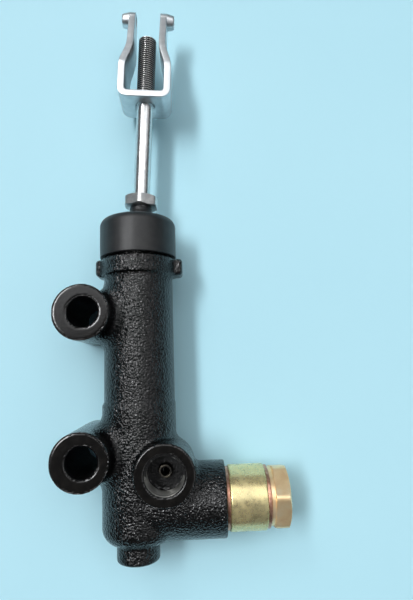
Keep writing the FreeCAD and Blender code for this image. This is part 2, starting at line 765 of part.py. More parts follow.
# Supply valve: stem, rubber seal and the wave washer over the foot of the stem.
seal_bottom = size["bore_floor"] + size["valve_lift"] + size["fit"]
foot_low = seal_bottom + size["valve_seal_height"]
foot_high = foot_low + size["foot_thickness"]
head_low = thimble_low + sheet_wall + size["seat_gap"]
foot = size["stem_foot"] / 2
head = size["stem_head"] / 2
body = new_body("valve_stem")
turned(body, "stem_form", (
    (0.0, foot_low - size["valve_seal_height"] / 2),
    (stem, foot_low - size["valve_seal_height"] / 2),
    (stem, foot_low),
    (foot, foot_low),
    (foot, foot_high),
    (stem, foot_high),
    (stem, head_low),
    (head, head_low),
    (head, head_low + sheet_wall),
    (head - sheet_wall, head_low + sheet_wall * 2),
    (0.0, head_low + sheet_wall * 2),
))
settle(body, 0.0, 0.0, 0.0)

seal = size["valve_seal_dia"] / 2
edge = size["valve_seal_bevel"]
body = new_body("valve_seal")
turned(body, "seal_form", (
    (0.0, seal_bottom + edge),
    (size["inlet_dia"] / 2, seal_bottom + edge),
    (size["inlet_dia"] / 2 + edge, seal_bottom),
    (seal - edge, seal_bottom),
    (seal, seal_bottom + edge),
    (seal, foot_low),
    (stem, foot_low),
    (stem, foot_low - size["valve_seal_height"] / 2),
    (0.0, foot_low - size["valve_seal_height"] / 2),
))
settle(body, 0.0, 0.0, 0.0)

body = new_body("wave_washer")
turned(body, "wave_form", (
    (stem + size["stem_room"], plate_low - size["wave_sheet"]),
    (foot, plate_low - size["wave_height"]),
    (foot, plate_low - size["wave_height"] + size["wave_sheet"]),
    (stem + size["stem_room"], plate_low),
))
settle(body, 0.0, 0.0, 0.0)

# Return spring between the spacer and the flange of the retainer.
wire = size["spring_wire"]
spring_room = flange_low - spacer_top - wire - size["seat_gap"]
helix = doc.addObject("Part::Helix", "spring_path")
bind(helix, "Radius", size["spring_dia"] / 2 - wire / 2)
bind(helix, "Pitch", spring_room / size["spring_turns"])
bind(helix, "Height", spring_room)
section = doc.addObject("Part::RegularPolygon", "spring_section")
section.Polygon = 8
bind(section, "Circumradius", wire / 2)
section.Placement = FreeCAD.Placement(
    FreeCAD.Vector(0, 0, 0), FreeCAD.Rotation(FreeCAD.Vector(1, 0, 0), 90))
bind(section, "Placement.Base.x", size["spring_dia"] / 2 - wire / 2)
spring = doc.addObject("Part::Sweep", "return_spring")
spring.Label = "return_spring"
spring.Sections = [section]
spring.Spine = (helix, ["Edge1"])
spring.Solid = True
spring.Frenet = True
made.append(spring)
settle(spring, 0.0, spacer_top + wire / 2 + size["seat_gap"] / 2, 0.0, FreeCAD.Vector(1, 0, 0), -90.0)
doc.recompute()

# Pipe seat pressed into the bottom of the outlet port.
body = new_body("outlet_seat")
seat = size["seat_dia"] / 2
eye = size["seat_hole"] / 2
sketch = new_sketch(body, "seat_profile", "XZ_Plane")
outline(sketch, (
    (eye, 0.0),
    (seat, 0.0),
    (seat, size["seat_height"] / 4),
    (eye + size["stem_room"], size["seat_height"]),
    (eye, size["seat_height"]),
))
feature = body.newObject("PartDesign::Revolution", "seat_form")
feature.Profile = sketch
feature.ReferenceAxis = (sketch, ["V_Axis"])
feature.Angle = 360
settle(body, size["port_offset"], size["port_height"], port_floor)

# Push rod: ball, plain shank with a hexagon for a spanner, and threaded end. It leans a little
# in its socket.
shank = size["rod_dia"] / 2
thread = size["rod_thread"] / 2
body = new_body("push_rod")
neck = root(ball * ball - shank * shank)
turned(body, "rod_form", (
    (0.0, -ball),
    (shank, neck, ball),
    (shank, size["thread_start"] - thread + shank),
    (thread, size["thread_start"]),
    (thread, size["rod_length"] - size["rod_chamfer"]),
    (thread - size["rod_chamfer"], size["rod_length"]),
    (0.0, size["rod_length"]),
))


def on_rod(item, along):
    """Places a piece on the leaning rod, a distance along it from the ball centre."""
    lean = size["rod_lean"]
    x = ratio("sin", lean) * along
    y = ball_height + ratio("cos", lean) * along
    settle(item, x, y, 0.0, angle=-lean)


flats = size["grip_flats"]
grip_low = size["grip_height"]
grip_high = grip_low + size["grip_thickness"]
sketch = new_sketch(body, "grip_section", "XZ_Plane", lift=-grip_low)
outline(sketch, hexagon(flats, size["grip_turn"]))
pushed(body, "grip_form", sketch, size["grip_thickness"], reverse=True)
turned(body, "grip_bevel_low", bevel_points(flats, grip_low, 1), kind="Groove")
turned(body, "grip_bevel_high", bevel_points(flats, grip_high, -1), kind="Groove")
on_rod(body, 0.0)

# Clevis: one strap bent to a U, joggled in to the ears, with drawn collars for the pin.
body = new_body("clevis")
strap = size["strap"]
outer = size["clevis_outer"] / 2
ear = size["ear_gap"] / 2
bend = size["clevis_corner"]
ear_top = size["pin_height"] + size["ear_radius"]
step = outer - ear - strap
rise = size["ear_start"] - size["leg_end"]
skew = strap * (root(step * step + rise * rise) - rise) / step
sketch = new_sketch(body, "strap_profile", lift=size["clevis_width"] / -2)
outline(sketch, (
    (outer - bend, 0.0),
    (outer, bend, bend),
    (outer, size["leg_end"]),
    (ear + strap, size["ear_start"]),
    (ear + strap, ear_top),
    (ear, ear_top),
    (ear, size["ear_start"] - skew),
    (outer - strap, size["leg_end"] - skew),
    (outer - strap, bend),
    (outer - bend, strap, strap - bend),
    (bend - outer, strap),
    (strap - outer, bend, strap - bend),
    (strap - outer, size["leg_end"] - skew),
    (-ear, size["ear_start"] - skew),
    (-ear, ear_top),
    (-ear - strap, ear_top),
    (-ear - strap, size["ear_start"]),
    (-outer, size["leg_end"]),
    (-outer, bend),
    (bend - outer, 0.0, bend),
))
pushed(body, "strap_form", sketch, size["clevis_width"])

half = size["clevis_width"] / 2
tip = size["ear_radius"]
for side in (1, -1):
    corners = [
        (size["leg_end"], half * side),
        (size["pin_height"], tip * side),
        (ear_top, 0.0, tip * -side),
        (ear_top + past, 0.0),
        (ear_top + past, (half + past) * side),
        (size["leg_end"], (half + past) * side),
    ]
    trim = new_sketch(body, "ear_trim_" + str(side + 2), "YZ_Plane", lift=-outer - past)
    outline(trim, corners)
    across = (outer + past) * 2
    pushed(body, "ear_cut_" + str(side + 2), trim, across, kind="Pocket", reverse=True)

collar_tip = ear + strap + size["collar_length"]
for side in (1, -1):
    sketch = new_sketch(body, "pin_collar_profile_" + str(side + 2), shift_y=size["pin_height"])
    outline(sketch, (
        ((ear + strap - size["sunk"]) * side, 0.0),
        ((ear + strap - size["sunk"]) * side, size["pin_collar"] / 2),
        ((ear + strap) * side, size["pin_collar"] / 2),
        (collar_tip * side, size["pin_collar_tip"] / 2),
        (collar_tip * side, 0.0),
    ))
    feature = body.newObject("PartDesign::Revolution", "pin_collar_" + str(side + 2))
    feature.Profile = sketch
    feature.ReferenceAxis = (sketch, ["H_Axis"])
    feature.Angle = 360
    doc.recompute()
sketch = new_sketch(body, "pin_section", "YZ_Plane", lift=-collar_tip - past)
circle(sketch, size["pin_height"], 0.0, size["pin_hole"] / 2)
pushed(body, "pin_bore", sketch, (collar_tip + past) * 2, kind="Pocket", reverse=True)
rod_hole = thread + size["fit"]
turned(body, "rod_hole", (
    (0.0, 0.0),
    (rod_hole + size["rod_hole_flare"], 0.0),
    (rod_hole, size["rod_hole_flare"]),
    (rod_hole, strap),
    (0.0, strap),
), kind="Groove")
on_rod(body, size["clevis_base"])

# Union on the arm: copper washer, sleeve, copper washer and hollow bolt.
copper = size["copper_thickness"]
inner_copper = size["arm_length"]
sleeve_start = inner_copper + copper
sleeve_end = sleeve_start + size["sleeve_length"]
collar_start = sleeve_end + copper
clear = bolt + size["fit"]
for label, start in (("inner_sealing_washer", inner_copper), ("outer_sealing_washer", sleeve_end)):
    body = new_body(label)
    turned(body, "disc", box_points(start, clear, start + copper, size["copper_dia"] / 2),
           axis="H_Axis")
    settle(body, 0.0, 0.0, 0.0)

body = new_body("union_sleeve")
sleeve = size["sleeve_dia"] / 2
flare = size["sleeve_chamfer"]
middle = sleeve_start + size["sleeve_length"] / 2
channel = size["sleeve_groove_width"] / 2
turned(body, "sleeve_form", (
    (sleeve_start, clear),
    (sleeve_start, sleeve - flare),
    (sleeve_start + flare, sleeve),
    (sleeve_end - flare, sleeve),
    (sleeve_end, sleeve - flare),
    (sleeve_end, clear),
    (middle + channel, clear),
    (middle + channel, size["sleeve_groove"] / 2),
    (middle - channel, size["sleeve_groove"] / 2),
    (middle - channel, clear),
), axis="H_Axis")
sketch = new_sketch(body, "inlet_section", lift=-sleeve - past)
circle(sketch, middle, 0.0, size["sleeve_inlet"] / 2)
pushed(body, "inlet_hole", sketch, sleeve, kind="Pocket", reverse=True)
settle(body, 0.0, 0.0, 0.0)

body = new_body("union_bolt")
bolt_start = size["arm_length"] - size["bolt_grip"]
head_start = collar_start + size["bolt_collar_thickness"]
head_end = head_start + size["bolt_head"]
washer_face = size["bolt_collar"] / 2
turned(body, "bolt_form", (
    (bolt_start, size["bolt_hollow"] / 2),
    (bolt_start, bolt - size["bolt_chamfer"]),
    (bolt_start + size["bolt_chamfer"], bolt),
    (collar_start, bolt),
    (collar_start, washer_face),
    (head_start, washer_face),
    (head_start, 0.0),
    (middle + channel, 0.0),
    (middle + channel, size["bolt_hollow"] / 2),
), axis="H_Axis")
sketch = new_sketch(body, "head_section", "YZ_Plane", lift=head_start - size["sunk"])
outline(sketch, hexagon(size["bolt_flats"], size["bolt_turn"]))
pushed(body, "head_form", sketch, size["bolt_head"] + size["sunk"])
corners = [(along, radius) for radius, along in bevel_points(size["bolt_flats"], head_end, -1)]
turned(body, "head_bevel", corners, kind="Groove", axis="H_Axis")
for at, plane in enumerate(("XY_Plane", "XZ_Plane"), start=1):
    sketch = new_sketch(body, "cross_section_" + str(at), plane, lift=-bolt - past)
    circle(sketch, middle, 0.0, size["bolt_cross"] / 2)
    across = (bolt + past) * 2
    pushed(body, "cross_hole_" + str(at), sketch, across, kind="Pocket", reverse=True)
settle(body, 0.0, 0.0, 0.0)

doc.recompute()
for item in doc.Objects:
    if "Invalid" in item.State or "Error" in item.State:
        raise RuntimeError(item.Label + " did not compute")
for item in made:
    if item.Shape.isNull() or not item.Shape.isValid():
        raise RuntimeError(item.Label + " has no valid shape")
for item in made:
    item.Shape.exportStep("parts/" + item.Label + ".step")
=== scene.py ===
import json
import bmesh
import bpy
import numpy as np
from mathutils import Matrix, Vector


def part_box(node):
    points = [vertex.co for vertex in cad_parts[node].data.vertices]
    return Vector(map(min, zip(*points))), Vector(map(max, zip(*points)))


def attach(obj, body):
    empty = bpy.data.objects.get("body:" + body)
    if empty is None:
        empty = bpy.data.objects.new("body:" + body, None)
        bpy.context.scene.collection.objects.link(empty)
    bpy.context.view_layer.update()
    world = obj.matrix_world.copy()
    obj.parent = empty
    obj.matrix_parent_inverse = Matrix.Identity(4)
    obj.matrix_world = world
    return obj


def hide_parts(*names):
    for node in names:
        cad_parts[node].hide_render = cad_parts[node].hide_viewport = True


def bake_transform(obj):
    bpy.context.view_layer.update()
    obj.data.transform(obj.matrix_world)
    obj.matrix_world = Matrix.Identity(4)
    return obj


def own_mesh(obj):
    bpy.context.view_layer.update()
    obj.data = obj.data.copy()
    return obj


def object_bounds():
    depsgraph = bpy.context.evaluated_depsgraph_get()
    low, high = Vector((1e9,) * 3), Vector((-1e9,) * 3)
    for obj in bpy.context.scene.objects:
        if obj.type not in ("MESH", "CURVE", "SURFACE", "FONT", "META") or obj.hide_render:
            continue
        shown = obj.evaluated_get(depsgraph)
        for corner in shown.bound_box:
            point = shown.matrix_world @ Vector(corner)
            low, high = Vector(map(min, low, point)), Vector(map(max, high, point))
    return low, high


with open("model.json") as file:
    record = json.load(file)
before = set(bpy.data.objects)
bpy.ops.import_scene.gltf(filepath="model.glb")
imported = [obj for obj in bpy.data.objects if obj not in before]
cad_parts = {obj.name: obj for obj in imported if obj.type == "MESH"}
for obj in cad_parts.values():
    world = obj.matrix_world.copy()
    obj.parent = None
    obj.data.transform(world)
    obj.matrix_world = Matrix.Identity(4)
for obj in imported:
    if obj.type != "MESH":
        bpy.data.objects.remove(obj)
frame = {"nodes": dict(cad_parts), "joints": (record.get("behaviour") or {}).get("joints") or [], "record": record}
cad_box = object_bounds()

# Where the cylinder lies. Its pieces are drawn in millimetres from the point where the bore
# axis and the arm axis cross: X towards the union, Y along the bore, Z out of the mounting faces.
MM = 0.001
piston_low, piston_high = (np.array(corner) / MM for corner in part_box("piston"))
sleeve_low, sleeve_high = (np.array(corner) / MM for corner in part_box("union_sleeve"))
CROSSING = np.array([
    (piston_low[0] + piston_high[0]) / 2,
    (sleeve_low[1] + sleeve_high[1]) / 2,
    (piston_low[2] + piston_high[2]) / 2,
])
MOUNTS = {mount["name"]: mount for mount in frame["record"]["mounts"]}


def to_frame(points):
    """Millimetres from the crossing of the axes to metres in the frame of the part."""
    return (np.asarray(points, dtype=float) + CROSSING) * MM


def box_mm(node):
    """Lowest and highest corner of a CAD node, in millimetres from the crossing."""
    return [np.array(corner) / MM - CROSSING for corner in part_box(node)]


def place(name, points, faces, sharp=35.0):
    """Makes an object from points in millimetres and faces, closes its seams and smooths it."""
    mesh = bpy.data.meshes.new(name)
    mesh.from_pydata(to_frame(points).tolist(), [], faces)
    work = bmesh.new()
    work.from_mesh(mesh)
    bmesh.ops.remove_doubles(work, verts=work.verts, dist=1e-7)
    bmesh.ops.dissolve_degenerate(work, edges=work.edges, dist=1e-8)
    bmesh.ops.recalc_face_normals(work, faces=work.faces)
    work.to_mesh(mesh)
    work.free()
    smooth(mesh, sharp)
    made = bpy.data.objects.new(name, mesh)
    bpy.context.scene.collection.objects.link(made)
    return made


def smooth(mesh, sharp):
    """Smooth shading with sharp edges past an angle in degrees."""
    mesh.polygons.foreach_set("use_smooth", np.ones(len(mesh.polygons), dtype=bool))
    mesh.set_sharp_from_angle(angle=np.radians(sharp))


def grid_faces(rows, columns, first=0, round_columns=True):
    """Quads of a grid of points, row by row; the columns run round and close."""
    row, column = np.meshgrid(np.arange(rows - 1), np.arange(columns - (not round_columns)),
                              indexing="ij")
    after = (column + 1) % columns
    corners = (row * columns + column, row * columns + after,
               (row + 1) * columns + after, (row + 1) * columns + column)
    return (np.stack(corners, axis=-1).reshape(-1, 4) + first).tolist()


def eased(corners, radius=0.3, steps=4, closed=False):
    """An outline through corners with each corner turned into a small arc.

    Each corner is replaced by a quadratic curve between two points set back along its sides,
    by the radius or by 0.45 of the shorter side. A third value is the corner's own radius.
    """
    own = np.array([corner[2] if len(corner) > 2 else radius for corner in corners])
    flat = np.array([corner[:2] for corner in corners], dtype=float)
    before = np.roll(flat, 1, axis=0)
    after = np.roll(flat, -1, axis=0)
    back = np.linalg.norm(before - flat, axis=1)
    ahead = np.linalg.norm(after - flat, axis=1)
    inset = np.minimum(own, 0.45 * np.minimum(back, ahead))
    start = flat + (before - flat) * (inset / back)[:, None]
    stop = flat + (after - flat) * (inset / ahead)[:, None]
    t = np.linspace(0, 1, steps + 1)[None, :, None]
    arcs = (1 - t) ** 2 * start[:, None] + 2 * t * (1 - t) * flat[:, None] + t ** 2 * stop[:, None]
    if closed:
        return arcs.reshape(-1, 2)
    return np.vstack([flat[:1], arcs[1:-1].reshape(-1, 2), flat[-1:]])


AXES = {
    "bore": (np.array([0, 1.0, 0]), np.array([1.0, 0, 0]), np.array([0, 0, -1.0])),
    "arm": (np.array([1.0, 0, 0]), np.array([0, 1.0, 0]), np.array([0, 0, 1.0])),
    "face": (np.array([0, 0, 1.0]), np.array([1.0, 0, 0]), np.array([0, 1.0, 0])),
}


def turned(profile, along="bore", centre=(0.0, 0.0, 0.0), around=128):
    """Points and faces of a turned piece: a profile of (radius, height) carried round an axis."""
    profile = np.asarray(profile, dtype=float)
    axis, first, second = AXES[along] if isinstance(along, str) else along
    angle = np.linspace(0, 2 * np.pi, around, endpoint=False)
    spoke = np.cos(angle)[:, None] * first + np.sin(angle)[:, None] * second
    points = profile[:, None, :1] * spoke[None] + profile[:, None, 1:] * axis
    points = points.reshape(-1, 3) + np.asarray(centre, dtype=float)
    return points, grid_faces(len(profile), around)


def closed_turn(corners, radius=0.3, steps=4, **where):
    """A turned ring: an eased closed outline carried round an axis."""
    profile = eased(corners, radius, steps, closed=True)
    return turned(np.vstack([profile, profile[:1]]), **where)


def joined(*shells):
    """Several shells as one set of points and faces."""
    points = np.vstack([shell[0] for shell in shells])
    faces = []
    first = 0
    for shell in shells:
        faces += [[corner + first for corner in face] for face in shell[1]]
        first += len(shell[0])
    return points, faces


# The finishes. A wire is one socket of a shader tree, so that maths on it can be written as
# ordinary expressions; a finish is one material with its surface shader.
class Wire:
    """A socket whose sums and products become Math nodes."""

    def __init__(self, finish, socket):
        self.finish = finish
        self.socket = socket

    def maths(self, operation, *others):
        """A Math node on this socket and others."""
        return self.finish.node("ShaderNodeMath", {"operation": operation}, *((self,) + others))

    def __add__(self, other):
        return self.maths("ADD", other)

    __radd__ = __add__

    def __mul__(self, other):
        return self.maths("MULTIPLY", other)

    __rmul__ = __mul__

    def __sub__(self, other):
        return self.maths("SUBTRACT", other)

    def __rsub__(self, other):
        return self.finish.node("ShaderNodeMath", {"operation": "SUBTRACT"}, other, self)

    def __truediv__(self, other):
        return self.maths("DIVIDE", other)

    def between(self, low, high):
        """0 below low, 1 above high, and a smooth step in between."""
        settings = {"interpolation_type": "SMOOTHSTEP"}
        return self.finish.node("ShaderNodeMapRange", settings, self, low, high, 0.0, 1.0)

    def part(self, index):
        """One of the three parts of a vector."""
        split = self.finish.node("ShaderNodeSeparateXYZ", {}, self, whole=True)
        return Wire(self.finish, split.outputs[index])


class Finish:
    """A material or a world, built from one method that adds any node."""

    def __init__(self, name, world=False):
        self.material = (bpy.data.worlds if world else bpy.data.materials).new(name)
        self.material.use_nodes = True
        self.tree = self.material.node_tree
        self.shader = self.tree.nodes["Background" if world else "Principled BSDF"]
        self.place = self.node("ShaderNodeTexCoord", {}, output="Generated" if world else "Object")

    def node(self, kind, settings=None, *values, output=0, whole=False, **named):
        """Adds a node, with its settings and the values or wires of its inputs."""
        made = self.tree.nodes.new(kind)
        for key, value in (settings or {}).items():
            setattr(made, key, value)
        for key, value in list(enumerate(values)) + list(named.items()):
            self.feed(made.inputs[key.replace("_", " ") if isinstance(key, str) else key], value)
        return made if whole else Wire(self, made.outputs[output])

    def feed(self, socket, value):
        """Links a wire to an input, or sets the input to a plain value."""
        if isinstance(value, Wire):
            self.tree.links.new(value.socket, socket)
        elif value is not None:
            socket.default_value = value

    def noise(self, size_mm, detail=2.0, rough=0.5, squeeze=(1.0, 1.0, 1.0)):
        """Noise whose lumps are about size_mm across; squeeze stretches it along an axis."""
        scale = tuple(part / (size_mm * MM) for part in squeeze)
        spot = self.node("ShaderNodeMapping", {}, self.place, Scale=scale)
        return self.node("ShaderNodeTexNoise", {}, Vector=spot, Scale=1.0, Detail=detail,
                         Roughness=rough)

    def ramp(self, factor, *stops):
        """A colour ramp through (place, red, green, blue) stops."""
        made = self.node("ShaderNodeValToRGB", {}, factor, whole=True)
        marks = made.color_ramp.elements
        while len(marks) < len(stops):
            marks.new(0.5)
        for mark, stop in zip(marks, stops):
            mark.position = stop[0]
            mark.color = stop[1:] + (1.0,)
        return Wire(self, made.outputs[0])

    def mix(self, factor, low, high):
        """Low where factor is 0, high where it is 1; colours are tuples or wires."""
        made = self.node("ShaderNodeMix", {"data_type": "RGBA"}, whole=True)
        for socket, value in zip((0, 6, 7), (factor, low, high)):
            plain = tuple(value) + (1.0,) if isinstance(value, tuple) else value
            self.feed(made.inputs[socket], plain)
        return Wire(self, made.outputs[2])

    def bump(self, height, deep_mm):
        """A normal that rises and falls with a height; deep_mm is the height at 1."""
        return self.node("ShaderNodeBump", {}, Height=height, Distance=deep_mm * MM)

    def look(self, **sockets):
        """Sets the surface shader: Base_Color, Roughness and so on."""
        for key, value in sockets.items():
            plain = tuple(value) + (1.0,) if isinstance(value, tuple) else value
            self.feed(self.shader.inputs[key.replace("_", " ")], plain)
        return self.material

    def painted(self, name):
        """A value painted on the points of the mesh."""
        return self.node("ShaderNodeAttribute", {"attribute_name": name}, output="Fac")


def wear(piece, material, body=None, replaced=()):
    """Gives a piece its material and the body it moves with, and hides the CAD nodes it replaces."""
    piece.data.materials.clear()
    piece.data.materials.append(material)
    if body:
        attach(piece, body)
    if replaced:
        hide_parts(*replaced)
    return piece


# Cylinder casting. One piece of rough cast iron under thick gloss paint, with machined faces
# on its bosses and drilled holes. It is worked out as a field of distances: each barrel, boss
# and arm is a rounded tube, neighbours flow into each other with a cast fillet, and the
# drillings are taken out.
BARREL, BLOCK, STUB, ARM, COLLAR = 17.8, 18.15, 10.45, 18.05, 19.5
BLOCK_LOW, BLOCK_TOP, BLOCK_ROUND, BLOCK_SHIFT = -18.0, 47.6, 7.5, -0.5
STUB_END, STUB_SHIFT, ARM_END, NECK_END = -26.6, -1.3, 41.7, 131.0
COLLAR_LOW, COLLAR_HIGH, LUG_LEFT, LUG_RIGHT, LUG_HALF = 112.5, 121.2, -21.6, 23.3, 6.0
GROOVE_AT, GROOVE_HALF, GROOVE_DEEP = 125.5, 1.5, 1.0
ARM_FILLET, MOUNT_FILLET, PORT_FILLET = 3.0, 7.0, 3.0
MOUNT_SPACING = MOUNTS["mounting_bolts"]["dims"]["spacing_y_mm"]
MOUNT_HOLE = MOUNTS["mounting_bolts"]["dims"]["hole_r_mm"]
MOUNT_AT = np.array(MOUNTS["mounting_bolts"]["pos_m"]) / MM - CROSSING
MOUNT_REAR = box_mm("cylinder_body")[0][2]
MOUNT_BOSS, BOSS_SHIFT = 13.25, -1.0
PORT_AT = np.array(MOUNTS["outlet_port"]["pos_m"]) / MM - CROSSING
PORT_CORE = MOUNTS["outlet_port"]["dims"]["r_mm"]
PORT_BOSS, PORT_FACE, PORT_FLOOR, PORT_THREAD = 14.0, 27.0, 14.0, 9.0
BORE, BORE_FLOOR, MOUTH, MOUTH_FLOOR = 12.7, 13.0, 14.8, 124.5
ARM_BORE, ARM_FLOOR, CHAMBER, CHAMBER_END = 9.1, 19.7, 6.5, -6.0
INLET_HOLE, PASSAGE, MOUNT_FLARE, PORT_FLARE = 2.8, 2.5, 0.6, 0.7
PAST = 40.0


def tube(p, axis, middle, radius, low, high, edge=0.5):
    """Distance to a capped tube along an axis, with its rims rounded by edge."""
    across = [part for part in range(3) if part != axis]
    out = np.hypot(p[across[0]] - middle[0], p[across[1]] - middle[1]) - radius + edge
    end = np.abs(p[axis] - (low + high) / 2) - (high - low) / 2 + edge
    return np.hypot(np.maximum(out, 0), np.maximum(end, 0)) + np.minimum(
        np.maximum(out, end), 0) - edge


def block_shape(p, middle, half, edge):
    """Distance to a box with rounded edges."""
    gap = [np.abs(p[part] - middle[part]) - half[part] + edge for part in range(3)]
    outside = np.sqrt(sum(np.maximum(part, 0) ** 2 for part in gap))
    return outside + np.minimum(np.maximum(np.maximum(gap[0], gap[1]), gap[2]), 0) - edge


def flow(one, other, fillet):
    """Union of two fields with a fillet where they meet: a polynomial smooth minimum. The
    fillet can differ from point to point."""
    fillet = np.maximum(fillet, 0.02)
    near = np.maximum(fillet - np.abs(one - other), 0) / fillet
    return np.minimum(one, other) - near * near * fillet / 4


def flare(p, axis, middle, radius, face, deep):
    """Distance to the cone of a chamfer that opens towards the face of a hole."""
    across = [part for part in range(3) if part != axis]
    out = np.hypot(p[across[0]] - middle[0], p[across[1]] - middle[1])
    return (out - radius - (p[axis] - face) * np.sign(deep) - abs(deep)) * np.sqrt(0.5)


def holes(p):
    """Distance to everything that is drilled out of the casting: the bore and its mouth, the
    inlet with its chamber in the arm, the mounting holes and the port."""
    field = tube(p, 1, (0, 0), BORE, BORE_FLOOR, MOUTH_FLOOR - 0.5, 0.1)
    field = np.minimum(field, tube(p, 1, (0, 0), MOUTH, MOUTH_FLOOR, NECK_END + 9, 1.0))
    field = np.minimum(field, tube(p, 1, (0, 0), INLET_HOLE, -2.0, BORE_FLOOR + 1, 0.1))
    field = np.minimum(field, tube(p, 0, (0, 0), ARM_BORE, ARM_FLOOR, 45.0, 0.2))
    field = np.minimum(field, tube(p, 0, (0, 0), CHAMBER, CHAMBER_END, ARM_FLOOR + 1.3, 0.5))
    for height in (-0.5, 0.5):
        middle = (MOUNT_AT[0], MOUNT_AT[1] + height * MOUNT_SPACING)
        field = np.minimum(field, tube(p, 2, middle, MOUNT_HOLE, -PAST, PAST, 0.1))
        field = np.minimum(field, flare(p, 2, middle, MOUNT_HOLE, MOUNT_AT[2], MOUNT_FLARE))
        field = np.minimum(field, flare(p, 2, middle, MOUNT_HOLE, MOUNT_REAR, -MOUNT_FLARE))
    middle = PORT_AT[:2]
    field = np.minimum(field, tube(p, 2, middle, PORT_THREAD, PORT_FLOOR, PAST, 0.2))
    field = np.minimum(field, flare(p, 2, middle, PORT_THREAD, PORT_FACE, PORT_FLARE))
    return np.minimum(field, tube(p, 2, middle, PASSAGE, 0.0, PORT_FLOOR + 1, 0.1))


def casting(p):
    """Distance to the skin of the casting, negative inside: the union of its tubes and lugs,
    less the groove and the holes. The fillet of the arm fades out towards the end of the block
    and where both tubes are tangent."""
    bottom = tube(p, 1, (BLOCK_SHIFT, 0), BLOCK, BLOCK_LOW, BLOCK_TOP, 1.0)
    round_low = tube(p, 1, (BLOCK_SHIFT, 0), BLOCK, BLOCK_LOW, BLOCK_TOP + 20, BLOCK_ROUND)
    body = flow(np.maximum(bottom, round_low), tube(p, 1, (0, 0), BARREL, 0, NECK_END, 0.8), 1.6)
    body = flow(body, tube(p, 1, (STUB_SHIFT, 0), STUB, STUB_END, 0, 1.3), 1.2)
    collar = tube(p, 1, (0, 0), COLLAR, COLLAR_LOW, COLLAR_HIGH, 0.7)
    middle = ((LUG_LEFT + LUG_RIGHT) / 2, (COLLAR_LOW + COLLAR_HIGH) / 2, 0)
    half = ((LUG_RIGHT - LUG_LEFT) / 2, (COLLAR_HIGH - COLLAR_LOW) / 2, LUG_HALF)
    lugs = block_shape(p, middle, half, 1.9)
    body = flow(body, flow(collar, lugs, 1.5), 1.2)
    groove = np.maximum(np.abs(p[1] - GROOVE_AT) - GROOVE_HALF,
                        BARREL - GROOVE_DEEP - np.hypot(p[0], p[2]))
    body = np.maximum(body, -groove)
    share = np.clip((p[1] + 12) / 20, 0, 1) * np.clip(1 - p[2] ** 2 / (ARM * BLOCK), 0, 1)
    body = flow(body, tube(p, 0, (0, 0), ARM, 0, ARM_END, 0.8), ARM_FILLET * share)
    for height in (-0.5, 0.5):
        middle = (MOUNT_AT[0] + BOSS_SHIFT, MOUNT_AT[1] + height * MOUNT_SPACING)
        boss = tube(p, 2, middle, MOUNT_BOSS, MOUNT_REAR, MOUNT_AT[2], 0.7)
        body = flow(body, boss, MOUNT_FILLET)
    body = flow(body, tube(p, 2, PORT_AT[:2], PORT_BOSS, -2.0, PORT_FACE, 0.7), PORT_FILLET)
    return np.maximum(body, -holes(p))


def net(field, low, step):
    """Surface net of a field: a point in each cell that the surface crosses, at the mean of the
    crossings of its edges, and a quad round each edge that it crosses."""
    count = np.zeros(tuple(size - 1 for size in field.shape))
    total = np.zeros(count.shape + (3,))
    crossings = []
    for axis in range(3):
        lower = np.moveaxis(field, axis, 0)[:-1]
        upper = np.moveaxis(field, axis, 0)[1:]
        crossed = (lower < 0) != (upper < 0)
        share = np.where(crossed, lower / np.where(crossed, lower - upper, 1), 0)
        crossed, share, inside = (np.moveaxis(part, 0, axis) for part in (crossed, share, lower < 0))
        crossings.append((crossed, inside))
        spot = np.stack(np.indices(crossed.shape), axis=-1).astype(float)
        spot[..., axis] += share
        others = [part for part in range(3) if part != axis]
        for shift in ((0, 0), (0, 1), (1, 0), (1, 1)):
            window = [slice(None)] * 3
            for part, offset in zip(others, shift):
                window[part] = slice(offset, field.shape[part] - 1 + offset)
            hit = crossed[tuple(window)]
            count += hit
            total += spot[tuple(window)] * hit[..., None]
    used = count > 0
    index = np.full(count.shape, -1)
    index[used] = np.arange(used.sum())
    points = total[used] / count[used][:, None] * step + low
    faces = []
    for axis, (crossed, inside) in enumerate(crossings):
        b, c = (axis + 1) % 3, (axis + 2) % 3
        spots = np.argwhere(crossed)
        fits = (spots[:, b] > 0) & (spots[:, c] > 0)
        fits &= (spots[:, b] < index.shape[b]) & (spots[:, c] < index.shape[c])
        spots = spots[fits]
        ring = []
        for db, dc in ((1, 1), (0, 1), (0, 0), (1, 0)):
            cell = spots.copy()
            cell[:, b] -= db
            cell[:, c] -= dc
            ring.append(index[tuple(cell.T)])
        quads = np.stack(ring, axis=-1)
        out = inside[tuple(spots.T)]
        faces.append(np.where(out[:, None], quads, quads[:, ::-1]))
    return points, np.vstack(faces)


def settle(points, shape, rounds=4, reach=0.04):
    """Moves points onto the surface of a field along its slope."""
    for _ in range(rounds):
        value = shape(points.T)
        slope = np.stack([
            (shape((points + reach * unit).T) - shape((points - reach * unit).T)) / (2 * reach)
            for unit in np.eye(3)], axis=-1)
        length = np.maximum((slope ** 2).sum(axis=1), 0.2)
        points = points - np.clip(value / length, -0.3, 0.3)[:, None] * slope
    return points


